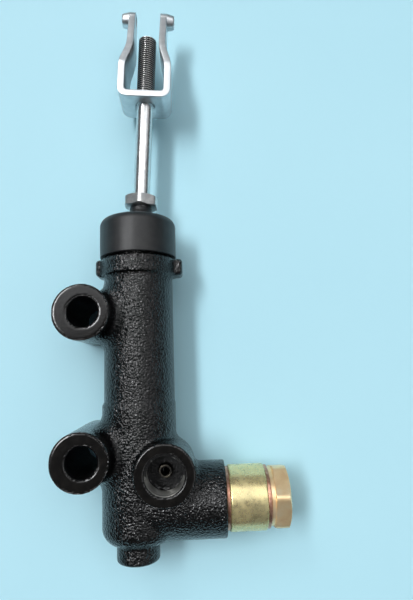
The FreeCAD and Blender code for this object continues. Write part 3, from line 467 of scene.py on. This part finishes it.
STEP = 0.78
low, high = box_mm("cylinder_body")
low, high = low - 2 * STEP, high + 2 * STEP
ticks = [np.arange(a, b, STEP) for a, b in zip(low, high)]
field = casting(np.meshgrid(*ticks, indexing="ij"))
points, faces = net(field, low, STEP)
points = np.clip(settle(points, casting), low + 2 * STEP, high - 2 * STEP)
body = place("casting", points, faces.tolist(), sharp=48.0)
spots = np.empty(len(body.data.vertices) * 3)
body.data.vertices.foreach_get("co", spots)
spots = spots.reshape(-1, 3) / MM - CROSSING
drilled = 1 - np.clip(holes(spots.T) / 0.35, 0, 1)
mount_faces = np.abs(spots[:, 2] - MOUNT_AT[2]) < 0.12
port_faces = (np.abs(spots[:, 2] - PORT_FACE) < 0.12) & (spots[:, 0] > -1)
faced = np.maximum(mount_faces, port_faces) * 1.0
faced = np.maximum(faced, (np.abs(spots[:, 0] - ARM_END) < 0.2) * 1.0)
for label, values in (("faced", faced), ("drilled", drilled)):
    body.data.attributes.new(label, "FLOAT", "POINT").data.foreach_set("value", values)

paint = Finish("black_paint")
cast_grain = paint.noise(0.9, 1.0, 0.5)
cast_lumps = paint.noise(1.9, 1.0, 0.45)
bare_face = paint.painted("faced").between(0.3, 0.9)
inside = paint.painted("drilled").between(0.3, 0.9)
skin = (1 - bare_face) * (1 - inside * 0.7)
relief = cast_grain * 0.8 + cast_lumps * 0.4
normal = paint.bump(relief * (skin * 0.97 + 0.03), 0.75)
worn = paint.noise(2.2, 3.0, 0.6).between(0.56, 0.74)
dark = paint.mix(worn, (0.0018, 0.0019, 0.0021), (0.0055, 0.0051, 0.0047))
dusty = paint.noise(4.0, 4.0, 0.65).between(0.35, 0.75)
face_tone = paint.mix(dusty, (0.0035, 0.0032, 0.0030), (0.010, 0.0088, 0.0078))
wear(body, paint.look(
    Base_Color=paint.mix(bare_face, dark, face_tone),
    Roughness=0.06 + paint.noise(1.6, 2.0, 0.6) * 0.06 + (1 - skin) * 0.06 + inside * 0.2,
    Normal=normal,
    IOR=1.5,
), "cylinder", ("cylinder_body",))

# Dust boot. A moulded cap of black rubber that grips the groove of the neck. Its top is a thin
# web; the lip round the rod moves with the rod.
BOOT, BOOT_RIM, SHOULDER, BOOT_TOP, WEB, SHELF = 20.0, 122.4, 140.2, 144.0, 1.8, 15.6
GROOVE_TOP = GROOVE_AT + GROOVE_HALF + 0.1
boot_skin = [
    (BARREL + 0.1, BOOT_RIM, 0.4), (BOOT - 0.1, BOOT_RIM, 0.5), (BOOT, BOOT_RIM + 6, 1.0),
    (BOOT, SHOULDER, 2.0), (BOOT - 1.3, BOOT_TOP - 1.5, 1.6), (SHELF, BOOT_TOP - 0.3, 2.0),
    (SHELF - 0.6, BOOT_TOP - 0.25, 0.1), (SHELF - 0.6, BOOT_TOP - WEB, 0.5),
    (BARREL - 1.2, BOOT_TOP - 2.6, 1.5), (BARREL + 0.1, SHOULDER - 1.0, 1.0),
    (BARREL + 0.1, GROOVE_TOP, 0.2),
]
boot = place("boot", *closed_turn(boot_skin, 0.5, 6, around=160))
rubber = Finish("boot_rubber")
mould = rubber.noise(5.0, 3.0, 0.55)
fine = rubber.noise(0.35, 2.0, 0.5)
drawn = rubber.noise(2.4, 2.0, 0.5, squeeze=(1.0, 0.12, 1.0))
wear(boot, rubber.look(
    Base_Color=rubber.mix(mould.between(0.35, 0.75), (0.010, 0.0105, 0.0115), (0.017, 0.0175, 0.018)),
    Roughness=0.38 + drawn * 0.16,
    Normal=rubber.bump(fine * 0.3 + drawn, 0.05),
    IOR=1.5,
), "cylinder", ("dust_boot",))

# Push rod. Bright drawn steel with clear zinc: a ball in the piston, a plain shank and a rolled
# thread at the outer end. It leans a little in its seat.
PIN_AT = np.array(MOUNTS["clevis_pin"]["pos_m"]) / MM - CROSSING
hinge = [joint for joint in frame["joints"] if joint["name"] == "rod_swing"][0]
BALL_AT = np.array(hinge["pos_m"]) / MM - CROSSING
along_rod = (PIN_AT - BALL_AT) / np.linalg.norm(PIN_AT - BALL_AT)
side_rod = np.cross(along_rod, (0, 0, 1.0))
ROD_AXES = (along_rod, side_rod, np.cross(side_rod, along_rod))
SHANK, ROD_THREAD, BALL, PITCH = 4.5, 5.0, 7.75, 1.25
THREAD_FROM, ROD_END, THREAD_DEEP = 95.2, 136.4, 0.55


def rod_points(local):
    """Places points (side, along, up) of the rod's own frame."""
    local = np.asarray(local, dtype=float)
    return BALL_AT + local[..., :1] * side_rod + local[..., 1:2] * along_rod + (
        local[..., 2:] * ROD_AXES[2])


def ridge(phase, crest=0.16):
    """Thread form over one turn: a flat crest, straight flanks and a round root, from 0 to 1."""
    wave = np.abs((phase % 1.0) * 2 - 1)
    return np.clip((wave - crest) / (1 - 2 * crest), 0, 1)


def screw(low, high, outer, deep, pitch, lead=1.0, around=48, per_turn=8, outside=True):
    """Threaded wall: the radius is a thread form of height over pitch plus the turn."""
    height = np.linspace(low, high, int((high - low) / pitch * per_turn) + 1)[:, None]
    angle = np.linspace(0, 2 * np.pi, around, endpoint=False)[None, :]
    fade = np.clip(np.minimum(height - low, high - height) / lead, 0, 1)
    depth = deep * (1 - ridge(height / pitch - angle / (2 * np.pi))) * fade
    radius = outer - depth if outside else outer + deep - depth
    return radius, np.broadcast_to(height, radius.shape), np.broadcast_to(angle, radius.shape)


def level(profile, turns):
    """One ring of points for each (radius, height) of a profile, round the second axis."""
    radius, height = np.asarray(profile, dtype=float).T[:, :, None]
    radius = np.maximum(radius, 1e-6)
    return np.stack([radius * np.cos(turns), height + 0 * turns, radius * np.sin(turns)], axis=-1)


neck = np.sqrt(BALL ** 2 - SHANK ** 2)
swing = np.linspace(-np.pi / 2, np.arctan2(neck, SHANK), 24)
plain = np.stack([BALL * np.cos(swing), BALL * np.sin(swing)], axis=-1)
plain = np.vstack([plain, [(SHANK, neck + 0.6), (SHANK, 60.0), (SHANK, THREAD_FROM - 1.2)]])
radius, height, angle = screw(THREAD_FROM, ROD_END - 1.0, ROD_THREAD, THREAD_DEEP, PITCH)
threaded = np.stack([radius * np.cos(angle), height, radius * np.sin(angle)], axis=-1)
turns = np.linspace(0, 2 * np.pi, threaded.shape[1], endpoint=False)
end = [(ROD_THREAD - 0.9, ROD_END - 0.25), (ROD_THREAD - 1.3, ROD_END), (0.0, ROD_END)]
rows = np.vstack([level(plain, turns), threaded, level(end, turns)])
rod = place("rod", rod_points(rows.reshape(-1, 3)), grid_faces(len(rows), len(turns)), 50.0)
spots = np.array([vertex.co for vertex in rod.data.vertices]) / MM - CROSSING - BALL_AT
height = spots @ along_rod
deep = ROD_THREAD - np.linalg.norm(spots - height[:, None] * along_rod, axis=1)
root = np.clip(deep / THREAD_DEEP, 0, 1) * (height > THREAD_FROM + 0.5) * (height < ROD_END - 1.0)
rod.data.attributes.new("root", "FLOAT", "POINT").data.foreach_set("value", root)
zinc = Finish("bright_zinc")
# Painted shade: the roots of the thread are coloured near black, and the threaded zone takes a darker tone than
# the shank.
root_painted_shade = zinc.painted("root").between(0.15, 0.7)
threaded_zone = (zinc.painted("root") * 20).between(0.0, 0.2)
lines = zinc.noise(0.5, 3.0, 0.6, squeeze=(1.0, 0.03, 1.0))
cloud = zinc.noise(6.0, 3.0, 0.6)
shank_tone = zinc.mix(cloud.between(0.35, 0.75), (0.66, 0.67, 0.68), (0.80, 0.80, 0.79))
thread_tone_with_painted_shade = zinc.mix(root_painted_shade, (0.52, 0.52, 0.51), (0.035, 0.034, 0.032))
wear(rod, zinc.look(
    Base_Color=zinc.mix(threaded_zone, shank_tone, thread_tone_with_painted_shade),
    Metallic=1.0,
    Roughness=0.2 + lines * 0.14,
    Normal=zinc.bump(lines, 0.015),
), "rod", ("push_rod",))

# Web and lip of the boot. The web is a thin sheet from the shelf of the cap to the rod, and the
# thicker lip rides on the rod.
EYE, FOOT, LIP, LIP_LOW, LIP_HIGH = 6.15, 7.9, 6.6, 29.65, 32.3
sheet = np.array([(EYE, 0.45), (9.3, 0.4), (12.0, 0.1), (SHELF - 0.2, -0.28)]) + (0, BOOT_TOP)
outline = np.vstack([sheet, sheet[::-1] - (0, 0.02), sheet[:1]])
share = ((SHELF - outline[:, 0]) / (SHELF - EYE))[:, None, None]
turns = np.linspace(0, 2 * np.pi, 128, endpoint=False)
web = level(outline, turns)
web[..., 0] += share[..., 0] * (BOOT_TOP - BALL_AT[1]) * along_rod[0] / along_rod[1]
web = place("boot_web", web.reshape(-1, 3), grid_faces(len(outline), len(turns)), 60.0)
wear(web, rubber.material)
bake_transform(web)
lip = closed_turn([
    (SHANK + 0.02, LIP_LOW - 0.3, 0.1), (FOOT, LIP_LOW - 0.1), (FOOT - 0.5, LIP_LOW + 0.8, 0.6),
    (LIP + 0.35, LIP_HIGH - 1.2, 0.5), (LIP, LIP_HIGH, 0.5), (LIP - 0.6, LIP_HIGH + 1.0, 0.6),
    (LIP - 0.7, LIP_HIGH + 3.1, 0.4), (SHANK + 0.02, LIP_HIGH + 3.2, 0.1),
], 0.3, 5, along=ROD_AXES, centre=BALL_AT, around=96)
lip = place("boot_lip", *lip)
wear(lip, rubber.material, "rod")

# Spanner hexagon. It is forged on the rod just above the boot, chamfered on both faces, with a
# thin zinc coat on its milled flats.
GRIP_LOW, GRIP_HIGH, GRIP_FLATS, GRIP_TURN = 35.9, 41.6, 17.0, 30.0


def hexagon_shell(flats, low, high, bevel, hole, edge=0.35, around=180):
    """A hexagon block: on each level the radius at an angle is the flat's distance over its
    cosine, and never more than the bevel circle of that level."""
    angle = np.linspace(0, 2 * np.pi, around, endpoint=False)
    side = (angle % (np.pi / 3)) - np.pi / 6
    flat = flats / 2 / np.cos(side)
    flat = -np.log(np.exp(-flat * 6) + np.exp(-(flats / np.sqrt(3) - edge) * 6)) / 6
    reach = flats / np.sqrt(3)
    spread = reach - flats / 2 + 0.3
    steps = np.linspace(0, 1, 9)
    levels = np.concatenate([low + spread * 0.55 * steps, high - spread * 0.55 * steps[::-1]])
    cone = flats / 2 - 0.3 + spread * steps ** 0.8
    cap = np.concatenate([cone if bevel[0] else cone + reach, cone[::-1] if bevel[1] else cone + reach])
    radius = np.minimum(flat[None, :], cap[:, None])
    inner = np.full((1, around), hole)
    radius = np.vstack([inner, radius, inner, inner])
    levels = np.concatenate([[low], levels, [high], [low]])
    return np.stack([radius * np.cos(angle), radius * np.sin(angle),
                     np.broadcast_to(levels[:, None], radius.shape)], axis=-1)


grip_points = hexagon_shell(GRIP_FLATS, GRIP_LOW, GRIP_HIGH, (True, True), SHANK - 0.05)
turn = np.radians(-GRIP_TURN)
grip_local = np.stack([
    grip_points[..., 0] * np.cos(turn) - grip_points[..., 1] * np.sin(turn),
    grip_points[..., 2],
    grip_points[..., 0] * np.sin(turn) + grip_points[..., 1] * np.cos(turn)], axis=-1)
grip = place("rod_hexagon", rod_points(grip_local.reshape(-1, 3)),
             grid_faces(*grip_points.shape[:2]), 24.0)
cut_steel = Finish("cut_steel")
tool = cut_steel.noise(0.7, 3.0, 0.6, squeeze=(0.15, 1.0, 0.15))
dull = cut_steel.noise(3.0, 3.0, 0.6)
wear(grip, cut_steel.look(
    Base_Color=cut_steel.mix(dull.between(0.4, 0.7), (0.62, 0.62, 0.62), (0.78, 0.78, 0.77)),
    Metallic=1.0,
    Roughness=0.26 + tool * 0.16,
    Normal=cut_steel.bump(tool, 0.02),
), "rod")

# Clevis. One strap of steel bent to a U, joggled in to two ears, with drawn collars round the
# pin holes, and plated bright zinc. The rod's thread screws through its base.
STRAP, WIDTH, BASE, OUTER, CORNER = 3.85, 22.4, 94.7, 14.45, 5.0
LEG_END, EAR_START, EAR, PIN, PIN_HOLE, EAR_ROUND = 20.6, 32.4, 6.95, 53.5, 3.0, 4.6
DRAWN, DRAWN_TIP, DRAWN_LONG, EASE, FLARE = 4.4, 3.7, 4.0, 0.45, 1.4
half = STRAP / 2
spine = [
    (-EAR - half, PIN + EAR_ROUND, 0), (-EAR - half, EAR_START, 4.0),
    (-OUTER + half, LEG_END, 4.0), (-OUTER + half, half, CORNER - half + 1.0),
    (OUTER - half, half, CORNER - half + 1.0), (OUTER - half, LEG_END, 4.0),
    (EAR + half, EAR_START, 4.0), (EAR + half, PIN + EAR_ROUND, 0),
]
bends = eased(spine, 0, 10)
pieces = []
for a, b in zip(bends[:-1], bends[1:]):
    length = np.linalg.norm(b - a)
    parts = max(1, int(np.ceil(length / 0.9)))
    pieces.append(a + (b - a) * np.linspace(0, 1, parts, endpoint=False)[:, None])
path = np.vstack(pieces + [bends[-1:]])
tip_steps = PIN + EAR_ROUND * np.sin(np.linspace(0, np.pi / 2, 18))
left_tip = np.stack([np.full(18, -EAR - half), tip_steps], -1)[::-1]
right_tip = np.stack([np.full(18, EAR + half), tip_steps], -1)
path = np.vstack([left_tip, path[path[:, 1] < PIN - 0.2], right_tip])
tangent = np.gradient(path, axis=0)
tangent /= np.linalg.norm(tangent, axis=1)[:, None]
normal_2d = np.stack([-tangent[:, 1], tangent[:, 0]], -1)
taper = np.interp(path[:, 1], (LEG_END, PIN), (WIDTH / 2, EAR_ROUND))
cap = np.sqrt(np.maximum(EAR_ROUND ** 2 - np.maximum(path[:, 1] - PIN, 0) ** 2, 1e-4))
reach = np.where(path[:, 1] > PIN, cap, taper)
edge = np.minimum(EASE, reach * 0.9)
quarter = np.linspace(0, np.pi / 2, 5)
corner = []
for sign_t, sign_w, spread in ((1, 1, quarter[::-1]), (-1, 1, quarter), (-1, -1, quarter[::-1]),
                               (1, -1, quarter)):
    corner.append(np.stack([sign_t * (half - EASE + EASE * np.sin(spread)), np.full(5, sign_w),
                            np.cos(spread)], axis=-1))
ring_t, ring_side, ring_out = np.vstack(corner).T
across = ring_side * (reach[:, None] - edge[:, None] + edge[:, None] * ring_out)
local = np.stack([
    path[:, None, 0] + normal_2d[:, None, 0] * ring_t[None],
    BASE + path[:, None, 1] + normal_2d[:, None, 1] * ring_t[None],
    across], axis=-1)
rows_count, ring_count = local.shape[:2]
strap_faces = grid_faces(rows_count, ring_count)
strap_faces.append(list(range(ring_count))[::-1])
strap_faces.append([(rows_count - 1) * ring_count + at for at in range(ring_count)])
strap = place("clevis_strap", rod_points(local.reshape(-1, 3)), strap_faces, 40.0)


def drilled_copy(piece, cutters):
    """Takes cutter objects out of a piece, and deletes them."""
    for cutter in cutters:
        step = piece.modifiers.new("drill", "BOOLEAN")
        step.operation = "DIFFERENCE"
        step.solver = "EXACT"
        step.object = cutter
    seen = piece.evaluated_get(bpy.context.evaluated_depsgraph_get())
    mesh = bpy.data.meshes.new_from_object(seen)
    piece.modifiers.clear()
    piece.data = mesh
    for cutter in cutters:
        bpy.data.objects.remove(cutter)
    return piece


PIN_AXES = (side_rod, along_rod, ROD_AXES[2])
pin_drill = place("pin_drill", *turned(
    [(1e-6, -30), (PIN_HOLE, -30), (PIN_HOLE, 30), (1e-6, 30)], PIN_AXES, PIN_AT, 72))
rod_hole = ROD_THREAD + 0.05
rod_drill = place("rod_drill", *turned(
    [(1e-6, -0.5), (rod_hole + FLARE, -0.5), (rod_hole, FLARE - 0.5), (rod_hole, 6), (1e-6, 6)],
    ROD_AXES, rod_points((0, BASE, 0)), 72))
strap = drilled_copy(strap, [pin_drill, rod_drill])
ear_face = EAR + STRAP
rings = [closed_turn([
    (PIN_HOLE + 0.01, way * (ear_face - 1.0), 0.1), (DRAWN + 0.15, way * (ear_face - 0.3)),
    (DRAWN, way * (ear_face + 0.5)), (DRAWN_TIP, way * (ear_face + DRAWN_LONG - 0.5), 0.5),
    (DRAWN_TIP - 0.35, way * (ear_face + DRAWN_LONG)),
    (PIN_HOLE + 0.01, way * (ear_face + DRAWN_LONG), 0.1)], 0.3, 4,
    along=PIN_AXES, centre=PIN_AT, around=72) for way in (-1, 1)]
collars = place("clevis_collars", *joined(*rings))
strap_zinc = Finish("strap_zinc")
roll = strap_zinc.noise(1.2, 3.0, 0.6, squeeze=(1.0, 0.08, 1.0))
bloom = strap_zinc.noise(4.0, 3.0, 0.6)
plate = strap_zinc.look(
    Base_Color=strap_zinc.mix(bloom.between(0.3, 0.8), (0.58, 0.61, 0.63), (0.70, 0.72, 0.74)),
    Metallic=1.0,
    Roughness=0.3 + roll * 0.14 + bloom * 0.06,
    Normal=strap_zinc.bump(roll * 0.6 + bloom * 0.4, 0.02),
)
wear(strap, plate, "clevis", ("clevis",))
wear(collars, plate, "clevis")

# Union sleeve. A turned ring of steel in yellow zinc, with a channel inside and a tapped inlet
# at the back. The union bolt clamps it on the arm.
SLEEVE, CLEAR, CHANNEL, CHANNEL_HALF = 15.5, 9.06, 10.5, 4.5
sleeve_from, sleeve_to = (corner[0] for corner in box_mm("union_sleeve"))
INLET_AT = np.array(MOUNTS["sleeve_inlet"]["pos_m"]) / MM - CROSSING
INLET = MOUNTS["sleeve_inlet"]["dims"]["r_mm"]
middle = (sleeve_from + sleeve_to) / 2
sleeve = place("sleeve", *closed_turn([
    (CLEAR, sleeve_from, 0.1), (SLEEVE, sleeve_from, 0.9), (SLEEVE, sleeve_to, 0.9),
    (CLEAR, sleeve_to, 0.1), (CLEAR, middle + CHANNEL_HALF, 0.1),
    (CHANNEL, middle + CHANNEL_HALF, 0.3), (CHANNEL, middle - CHANNEL_HALF, 0.3),
    (CLEAR, middle - CHANNEL_HALF, 0.1)], 0.3, 6, along="arm", around=180), 30.0)
inlet_drill = place("inlet_drill", *turned(
    [(1e-6, -20), (INLET + 1.0, -20), (INLET + 1.0, -SLEEVE), (INLET, -SLEEVE + 1.2), (INLET, -9.6),
     (1e-6, -9.6)], "face", (INLET_AT[0], INLET_AT[1], 0), 64))
sleeve = drilled_copy(sleeve, [inlet_drill])
smooth(sleeve.data, 30.0)
yellow = Finish("yellow_zinc")
stain = yellow.noise(2.6, 4.0, 0.65)
tint = yellow.noise(9.0, 2.0, 0.5)
turning = yellow.noise(0.5, 2.0, 0.5, squeeze=(1.0, 0.05, 0.05))
gold = yellow.ramp(stain * 0.45 + tint * 0.55, (0.30, 0.52, 0.47, 0.25), (0.45, 0.74, 0.63, 0.34),
                   (0.58, 0.88, 0.74, 0.38), (0.75, 0.95, 0.83, 0.50))
x_mm = yellow.place.part(0) * (1 / MM) - float(CROSSING[0])
ends = (x_mm - middle).maths("ABSOLUTE").between(6.2, 9.0)
wear(sleeve, yellow.look(
    Base_Color=yellow.mix(ends * 0.4, gold, (0.60, 0.58, 0.28)),
    Metallic=0.75,
    Roughness=0.24 + stain.between(0.35, 0.7) * 0.14,
    Normal=yellow.bump(turning + stain * 0.8, 0.02),
), "cylinder", ("union_sleeve",))

# Sealing washers. Soft copper rings, stamped from sheet, on both sides of the sleeve; the bolt
# squeezes them against it.
COPPER = 14.8
copper = Finish("copper")
smudge = copper.noise(1.5, 3.0, 0.6)
soft_copper = copper.look(
    Base_Color=copper.mix(smudge.between(0.35, 0.7), (0.52, 0.25, 0.17), (0.78, 0.46, 0.34)),
    Metallic=1.0,
    Roughness=0.3 + smudge * 0.2,
    Normal=copper.bump(smudge, 0.03),
)
for node in ("inner_sealing_washer", "outer_sealing_washer"):
    start, stop = (corner[0] for corner in box_mm(node))
    washer = place(node + "_ring", *closed_turn([
        (CLEAR, start), (COPPER, start), (COPPER, stop), (CLEAR, stop)], 0.35, 5, along="arm",
        around=160), 30.0)
    wear(washer, soft_copper, "cylinder", (node,))

# Union bolt. A hollow bolt through the sleeve: hexagon head with a washer face, a threaded
# shank drilled along its length and across at the sleeve.
bolt_from, bolt_to = (corner[0] for corner in box_mm("union_bolt"))
BOLT_FLATS, HEAD, FACE, FACE_THICK, BOLT_TURN = 28.0, 7.3, 13.7, 2.2, 21.0
SHAFT, HOLLOW = 9.0, 4.5
head_from = bolt_to - HEAD
head = hexagon_shell(BOLT_FLATS, head_from, bolt_to, (False, True), 1e-6, 0.5, 240)
spin = np.radians(BOLT_TURN)
head_local = np.stack([
    head[..., 2],
    head[..., 0] * np.cos(spin) - head[..., 1] * np.sin(spin),
    head[..., 0] * np.sin(spin) + head[..., 1] * np.cos(spin)], axis=-1)
shank = closed_turn([
    (HOLLOW, bolt_from), (SHAFT - 1, bolt_from, 0.2), (SHAFT, bolt_from + 1.2, 0.2),
    (SHAFT, head_from - FACE_THICK, 0.1), (FACE, head_from - FACE_THICK, 0.5),
    (FACE, head_from + 0.1, 0.3), (HOLLOW, head_from + 0.1)], 0.3, 5, along="arm", around=128)
bolt = place("bolt", *joined(
    (head_local.reshape(-1, 3), grid_faces(*head.shape[:2])), shank), 24.0)
bolt_zinc = Finish("bolt_zinc")
blush = bolt_zinc.noise(5.0, 3.0, 0.55)
scratch = bolt_zinc.noise(0.8, 3.0, 0.6, squeeze=(0.2, 1.0, 0.3))
wear(bolt, bolt_zinc.look(
    Base_Color=bolt_zinc.ramp(blush, (0.3, 0.88, 0.62, 0.34), (0.5, 0.96, 0.72, 0.42),
                              (0.75, 0.98, 0.80, 0.54)),
    Metallic=0.7,
    Roughness=0.28 + scratch * 0.18,
    Normal=bolt_zinc.bump(scratch, 0.02),
), "cylinder", ("union_bolt",))

# Outlet port. The tapped wall of the port is bare metal in patches where the tap has cut through the
# paint, and brighter bare metal on its lower side as a painted highlight of the light falling in; the
# cone seat for the pipe stands on its floor.
PORT_PITCH, PORT_DEEP, PORT_RUN_OUT = 1.5, 0.6, 3.6
SEAT, SEAT_HOLE, SEAT_HIGH = 3.6, 2.1, 3.6
radius, height, angle = screw(PORT_FLOOR + PORT_RUN_OUT, PORT_FACE - 0.9, PORT_CORE, PORT_DEEP,
                              PORT_PITCH, lead=0.8, around=72, outside=False)
wall = np.stack([radius * np.cos(angle), height, radius * np.sin(angle)], axis=-1)
behind = PORT_THREAD + 0.1
back = [(behind, PORT_FLOOR + PORT_RUN_OUT - 0.4), (behind, PORT_FACE - 0.7)]
wall = np.vstack([level(back[:1], angle[0]), wall, level(back[::-1], angle[0])])
rows = wall[..., (0, 2, 1)] + (PORT_AT[0], PORT_AT[1], 0)
thread = place("port_thread", rows.reshape(-1, 3), grid_faces(*wall.shape[:2]), 40.0)
bare = Finish("port_wall")
patch = bare.noise(3.2, 3.0, 0.6)
# Painted highlight: the lower side of the wall is brighter bare metal, where light falls into the port.
lit_side = (bare.place.part(1) * (1 / MM) - float(CROSSING[1] + PORT_AT[1])).between(2.0, -3.0)
bare_and_lit_wall = (patch + lit_side * 0.35).between(0.56, 0.72)
wear(thread, bare.look(
    Base_Color=bare.mix(bare_and_lit_wall, (0.012, 0.012, 0.013), (0.42, 0.42, 0.40)),
    Metallic=bare_and_lit_wall,
    Roughness=0.36,
    Normal=bare.bump(patch, 0.05),
), "cylinder")
# The seat at the floor of the port is coloured near black, with a dark mottle.
brass = Finish("seat_brass")
seat_mottle = brass.noise(1.4, 3.0, 0.6)
seat_metal = brass.look(
    Base_Color=brass.mix(seat_mottle.between(0.4, 0.7), (0.03, 0.03, 0.028), (0.10, 0.09, 0.07)),
    Metallic=1.0,
    Roughness=0.4,
    Normal=brass.bump(seat_mottle, 0.03),
)
seat = place("pipe_seat", *closed_turn([
    (SEAT_HOLE, PORT_FLOOR), (SEAT, PORT_FLOOR), (SEAT, PORT_FLOOR + 0.9),
    (SEAT - 0.6, PORT_FLOOR + SEAT_HIGH), (SEAT_HOLE, PORT_FLOOR + SEAT_HIGH)], 0.2, 4,
    along="face", centre=(PORT_AT[0], PORT_AT[1], 0), around=72))
wear(seat, seat_metal, "cylinder", ("outlet_seat",))

# Return spring. Steel wire wound cold, between the spacer and the retainer; it pushes the
# piston back. The section of the wire is swept along a helix.
spring_low, spring_high = box_mm("return_spring")
WIRE, COIL, TURNS, SECTION = 1.05, 8.65, 7, 14
sweep = np.linspace(0, 1, TURNS * 40 + 1)
travel = spring_high[1] - spring_low[1] - 2 * WIRE
angle = sweep * TURNS * 2 * np.pi
centre = np.stack([COIL * np.cos(angle), spring_low[1] + WIRE + travel * sweep,
                   COIL * np.sin(angle)], axis=-1)
outward = np.stack([np.cos(angle), np.zeros_like(angle), np.sin(angle)], axis=-1)
run = np.gradient(centre, axis=0)
run /= np.linalg.norm(run, axis=1)[:, None]
upward = np.cross(outward, run)
spin = np.linspace(0, 2 * np.pi, SECTION, endpoint=False)
coil = centre[:, None] + WIRE * (np.cos(spin)[None, :, None] * outward[:, None] +
                                 np.sin(spin)[None, :, None] * upward[:, None])
coil_faces = grid_faces(len(centre), SECTION)
coil_faces.append(list(range(SECTION)))
coil_faces.append([(len(centre) - 1) * SECTION + at for at in range(SECTION)])
spring = place("spring", coil.reshape(-1, 3), coil_faces)
wire_steel = Finish("spring_steel")
drawn = wire_steel.noise(0.8, 3.0, 0.6)
spring_wire = wire_steel.look(
    Base_Color=wire_steel.mix(drawn.between(0.3, 0.7), (0.20, 0.20, 0.21), (0.32, 0.31, 0.30)),
    Metallic=1.0,
    Roughness=0.34 + drawn * 0.12,
)
wear(spring, spring_wire, "cylinder", ("return_spring",))
room = spring_high[1] - spring_low[1]
stroke = [joint for joint in frame["joints"] if joint["name"] == "piston_stroke"][0]
keep = (room - stroke["range_m"][1] / MM) / room
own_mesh(spring)

# Inner pieces. Piston, rings, cups and valve stay as they were turned or moulded in the frame;
# each gets the finish of its metal or rubber.
alloy = Finish("piston_alloy")
cutter_marks = alloy.noise(0.4, 2.0, 0.5, squeeze=(0.05, 1.0, 0.05))
piston_metal = alloy.look(Base_Color=(0.78, 0.78, 0.79), Metallic=1.0,
                          Roughness=0.24 + cutter_marks * 0.16,
                          Normal=alloy.bump(cutter_marks, 0.01))
turned_steel = Finish("plain_steel")
lathe_marks = turned_steel.noise(0.5, 2.0, 0.5, squeeze=(0.2, 1.0, 0.2))
steel = turned_steel.look(Base_Color=(0.56, 0.56, 0.57), Metallic=1.0,
                          Roughness=0.28 + lathe_marks * 0.16,
                          Normal=turned_steel.bump(lathe_marks, 0.01))
seal_rubber = Finish("seal_rubber")
film = seal_rubber.noise(1.0, 2.0, 0.5)
cup_rubber = seal_rubber.look(Base_Color=(0.025, 0.025, 0.027), Roughness=0.3 + film * 0.2,
                              Normal=seal_rubber.bump(film, 0.02))
for node, material in (
        ("piston", piston_metal), ("valve_spacer", piston_metal), ("stop_washer", steel),
        ("cup_washer", steel), ("spring_retainer", steel), ("valve_stem", steel),
        ("snap_ring", spring_wire), ("wave_washer", spring_wire), ("primary_cup", cup_rubber),
        ("secondary_cup", cup_rubber), ("valve_seal", cup_rubber)):
    inner = frame["nodes"][node]
    inner.data.materials.clear()
    inner.data.materials.append(material)

# Studio. A pale floor just under the bosses, soft light from above, and a camera that looks
# down on the cylinder as the photograph does.
floor_level = cad_box[0][2]
bpy.ops.mesh.primitive_plane_add(size=6.0, location=(0, 0, floor_level))
floor = bpy.context.object
floor.name = "floor"
ground = Finish("floor")
cloudy = ground.noise(160.0, 2.0, 0.5)
floor.data.materials.append(ground.look(
    Base_Color=ground.mix(cloudy, (0.45, 0.76, 0.87), (0.49, 0.80, 0.90)), Roughness=0.7))

# The world is a dim room with three soft windows, at places given by the tangents of their
# directions across and along the cylinder; straight to the camera it shows the floor's colour.
sky = Finish("studio", world=True)
upward = sky.place.part(2).maths("MAXIMUM", 0.05)
across_sky = sky.place.part(0) / upward
along_sky = sky.place.part(1) / upward
NARROW = (25.0, -0.52, 0.09, 0.30, 0.32)
BROAD = (1.6, 0.0, 0.6, 0.62, 0.50)
RIGHT_SIDE = (0.7, 0.95, 0.65, 0.0, 0.75)
room = 0.08
for bright, middle_u, half_u, middle_v, half_v in (NARROW, BROAD, RIGHT_SIDE):
    off_u = (across_sky - middle_u).maths("ABSOLUTE")
    off_v = (along_sky - middle_v).maths("ABSOLUTE")
    window = off_u.between(half_u + 0.03, half_u - 0.03) * off_v.between(half_v + 0.1, half_v - 0.1)
    room = window * bright + room
seen = sky.node("ShaderNodeLightPath", {}, output="Is Camera Ray")
sky.look(Color=sky.mix(seen, (0.96, 0.98, 1.0), (0.47, 0.78, 0.885)),
         Strength=room * (1 - seen) + seen)
bpy.context.scene.world = sky.material


def stand(name, data, spot, right, up):
    """Puts a lamp or a camera at a spot in metres; it looks away from right crossed with up."""
    made = bpy.data.objects.new(name, data)
    bpy.context.scene.collection.objects.link(made)
    turn = Matrix(np.stack([right, up, np.cross(right, up)], axis=1).tolist()).to_4x4()
    made.matrix_world = Matrix.Translation(spot) @ turn
    return made


KEY_AT = np.array((-0.36, 0.69, 0.63))
key = bpy.data.lights.new("key", "SUN")
key.energy = 0.3
key.color = (1.0, 0.98, 0.95)
key.angle = np.radians(12.0)
away = KEY_AT / np.linalg.norm(KEY_AT)
across = np.cross((0, 1, 0), away)
across /= np.linalg.norm(across)
stand("key", key, KEY_AT, across, np.cross(away, across))

# The camera stands where the photograph was taken: its place and turn come from a fit to the
# rings of the bosses, and the focal length is in pixels of the photograph.
CAMERA_AT = (24.417, 64.524, 238.053)
RIGHT = (0.998590, -0.032048, 0.042329)
UP = (0.025502, 0.988805, 0.147017)
FOCAL_PIXELS, PHOTO_HEIGHT = 454.919, 600
view = bpy.data.cameras.new("camera")
view.sensor_fit = "VERTICAL"
view.sensor_height = 36.0
view.lens = FOCAL_PIXELS / PHOTO_HEIGHT * view.sensor_height
view.clip_start = 0.005
bpy.context.scene.camera = stand("camera", view, to_frame(CAMERA_AT), RIGHT, UP)
bpy.context.scene.view_settings.view_transform = "Standard"
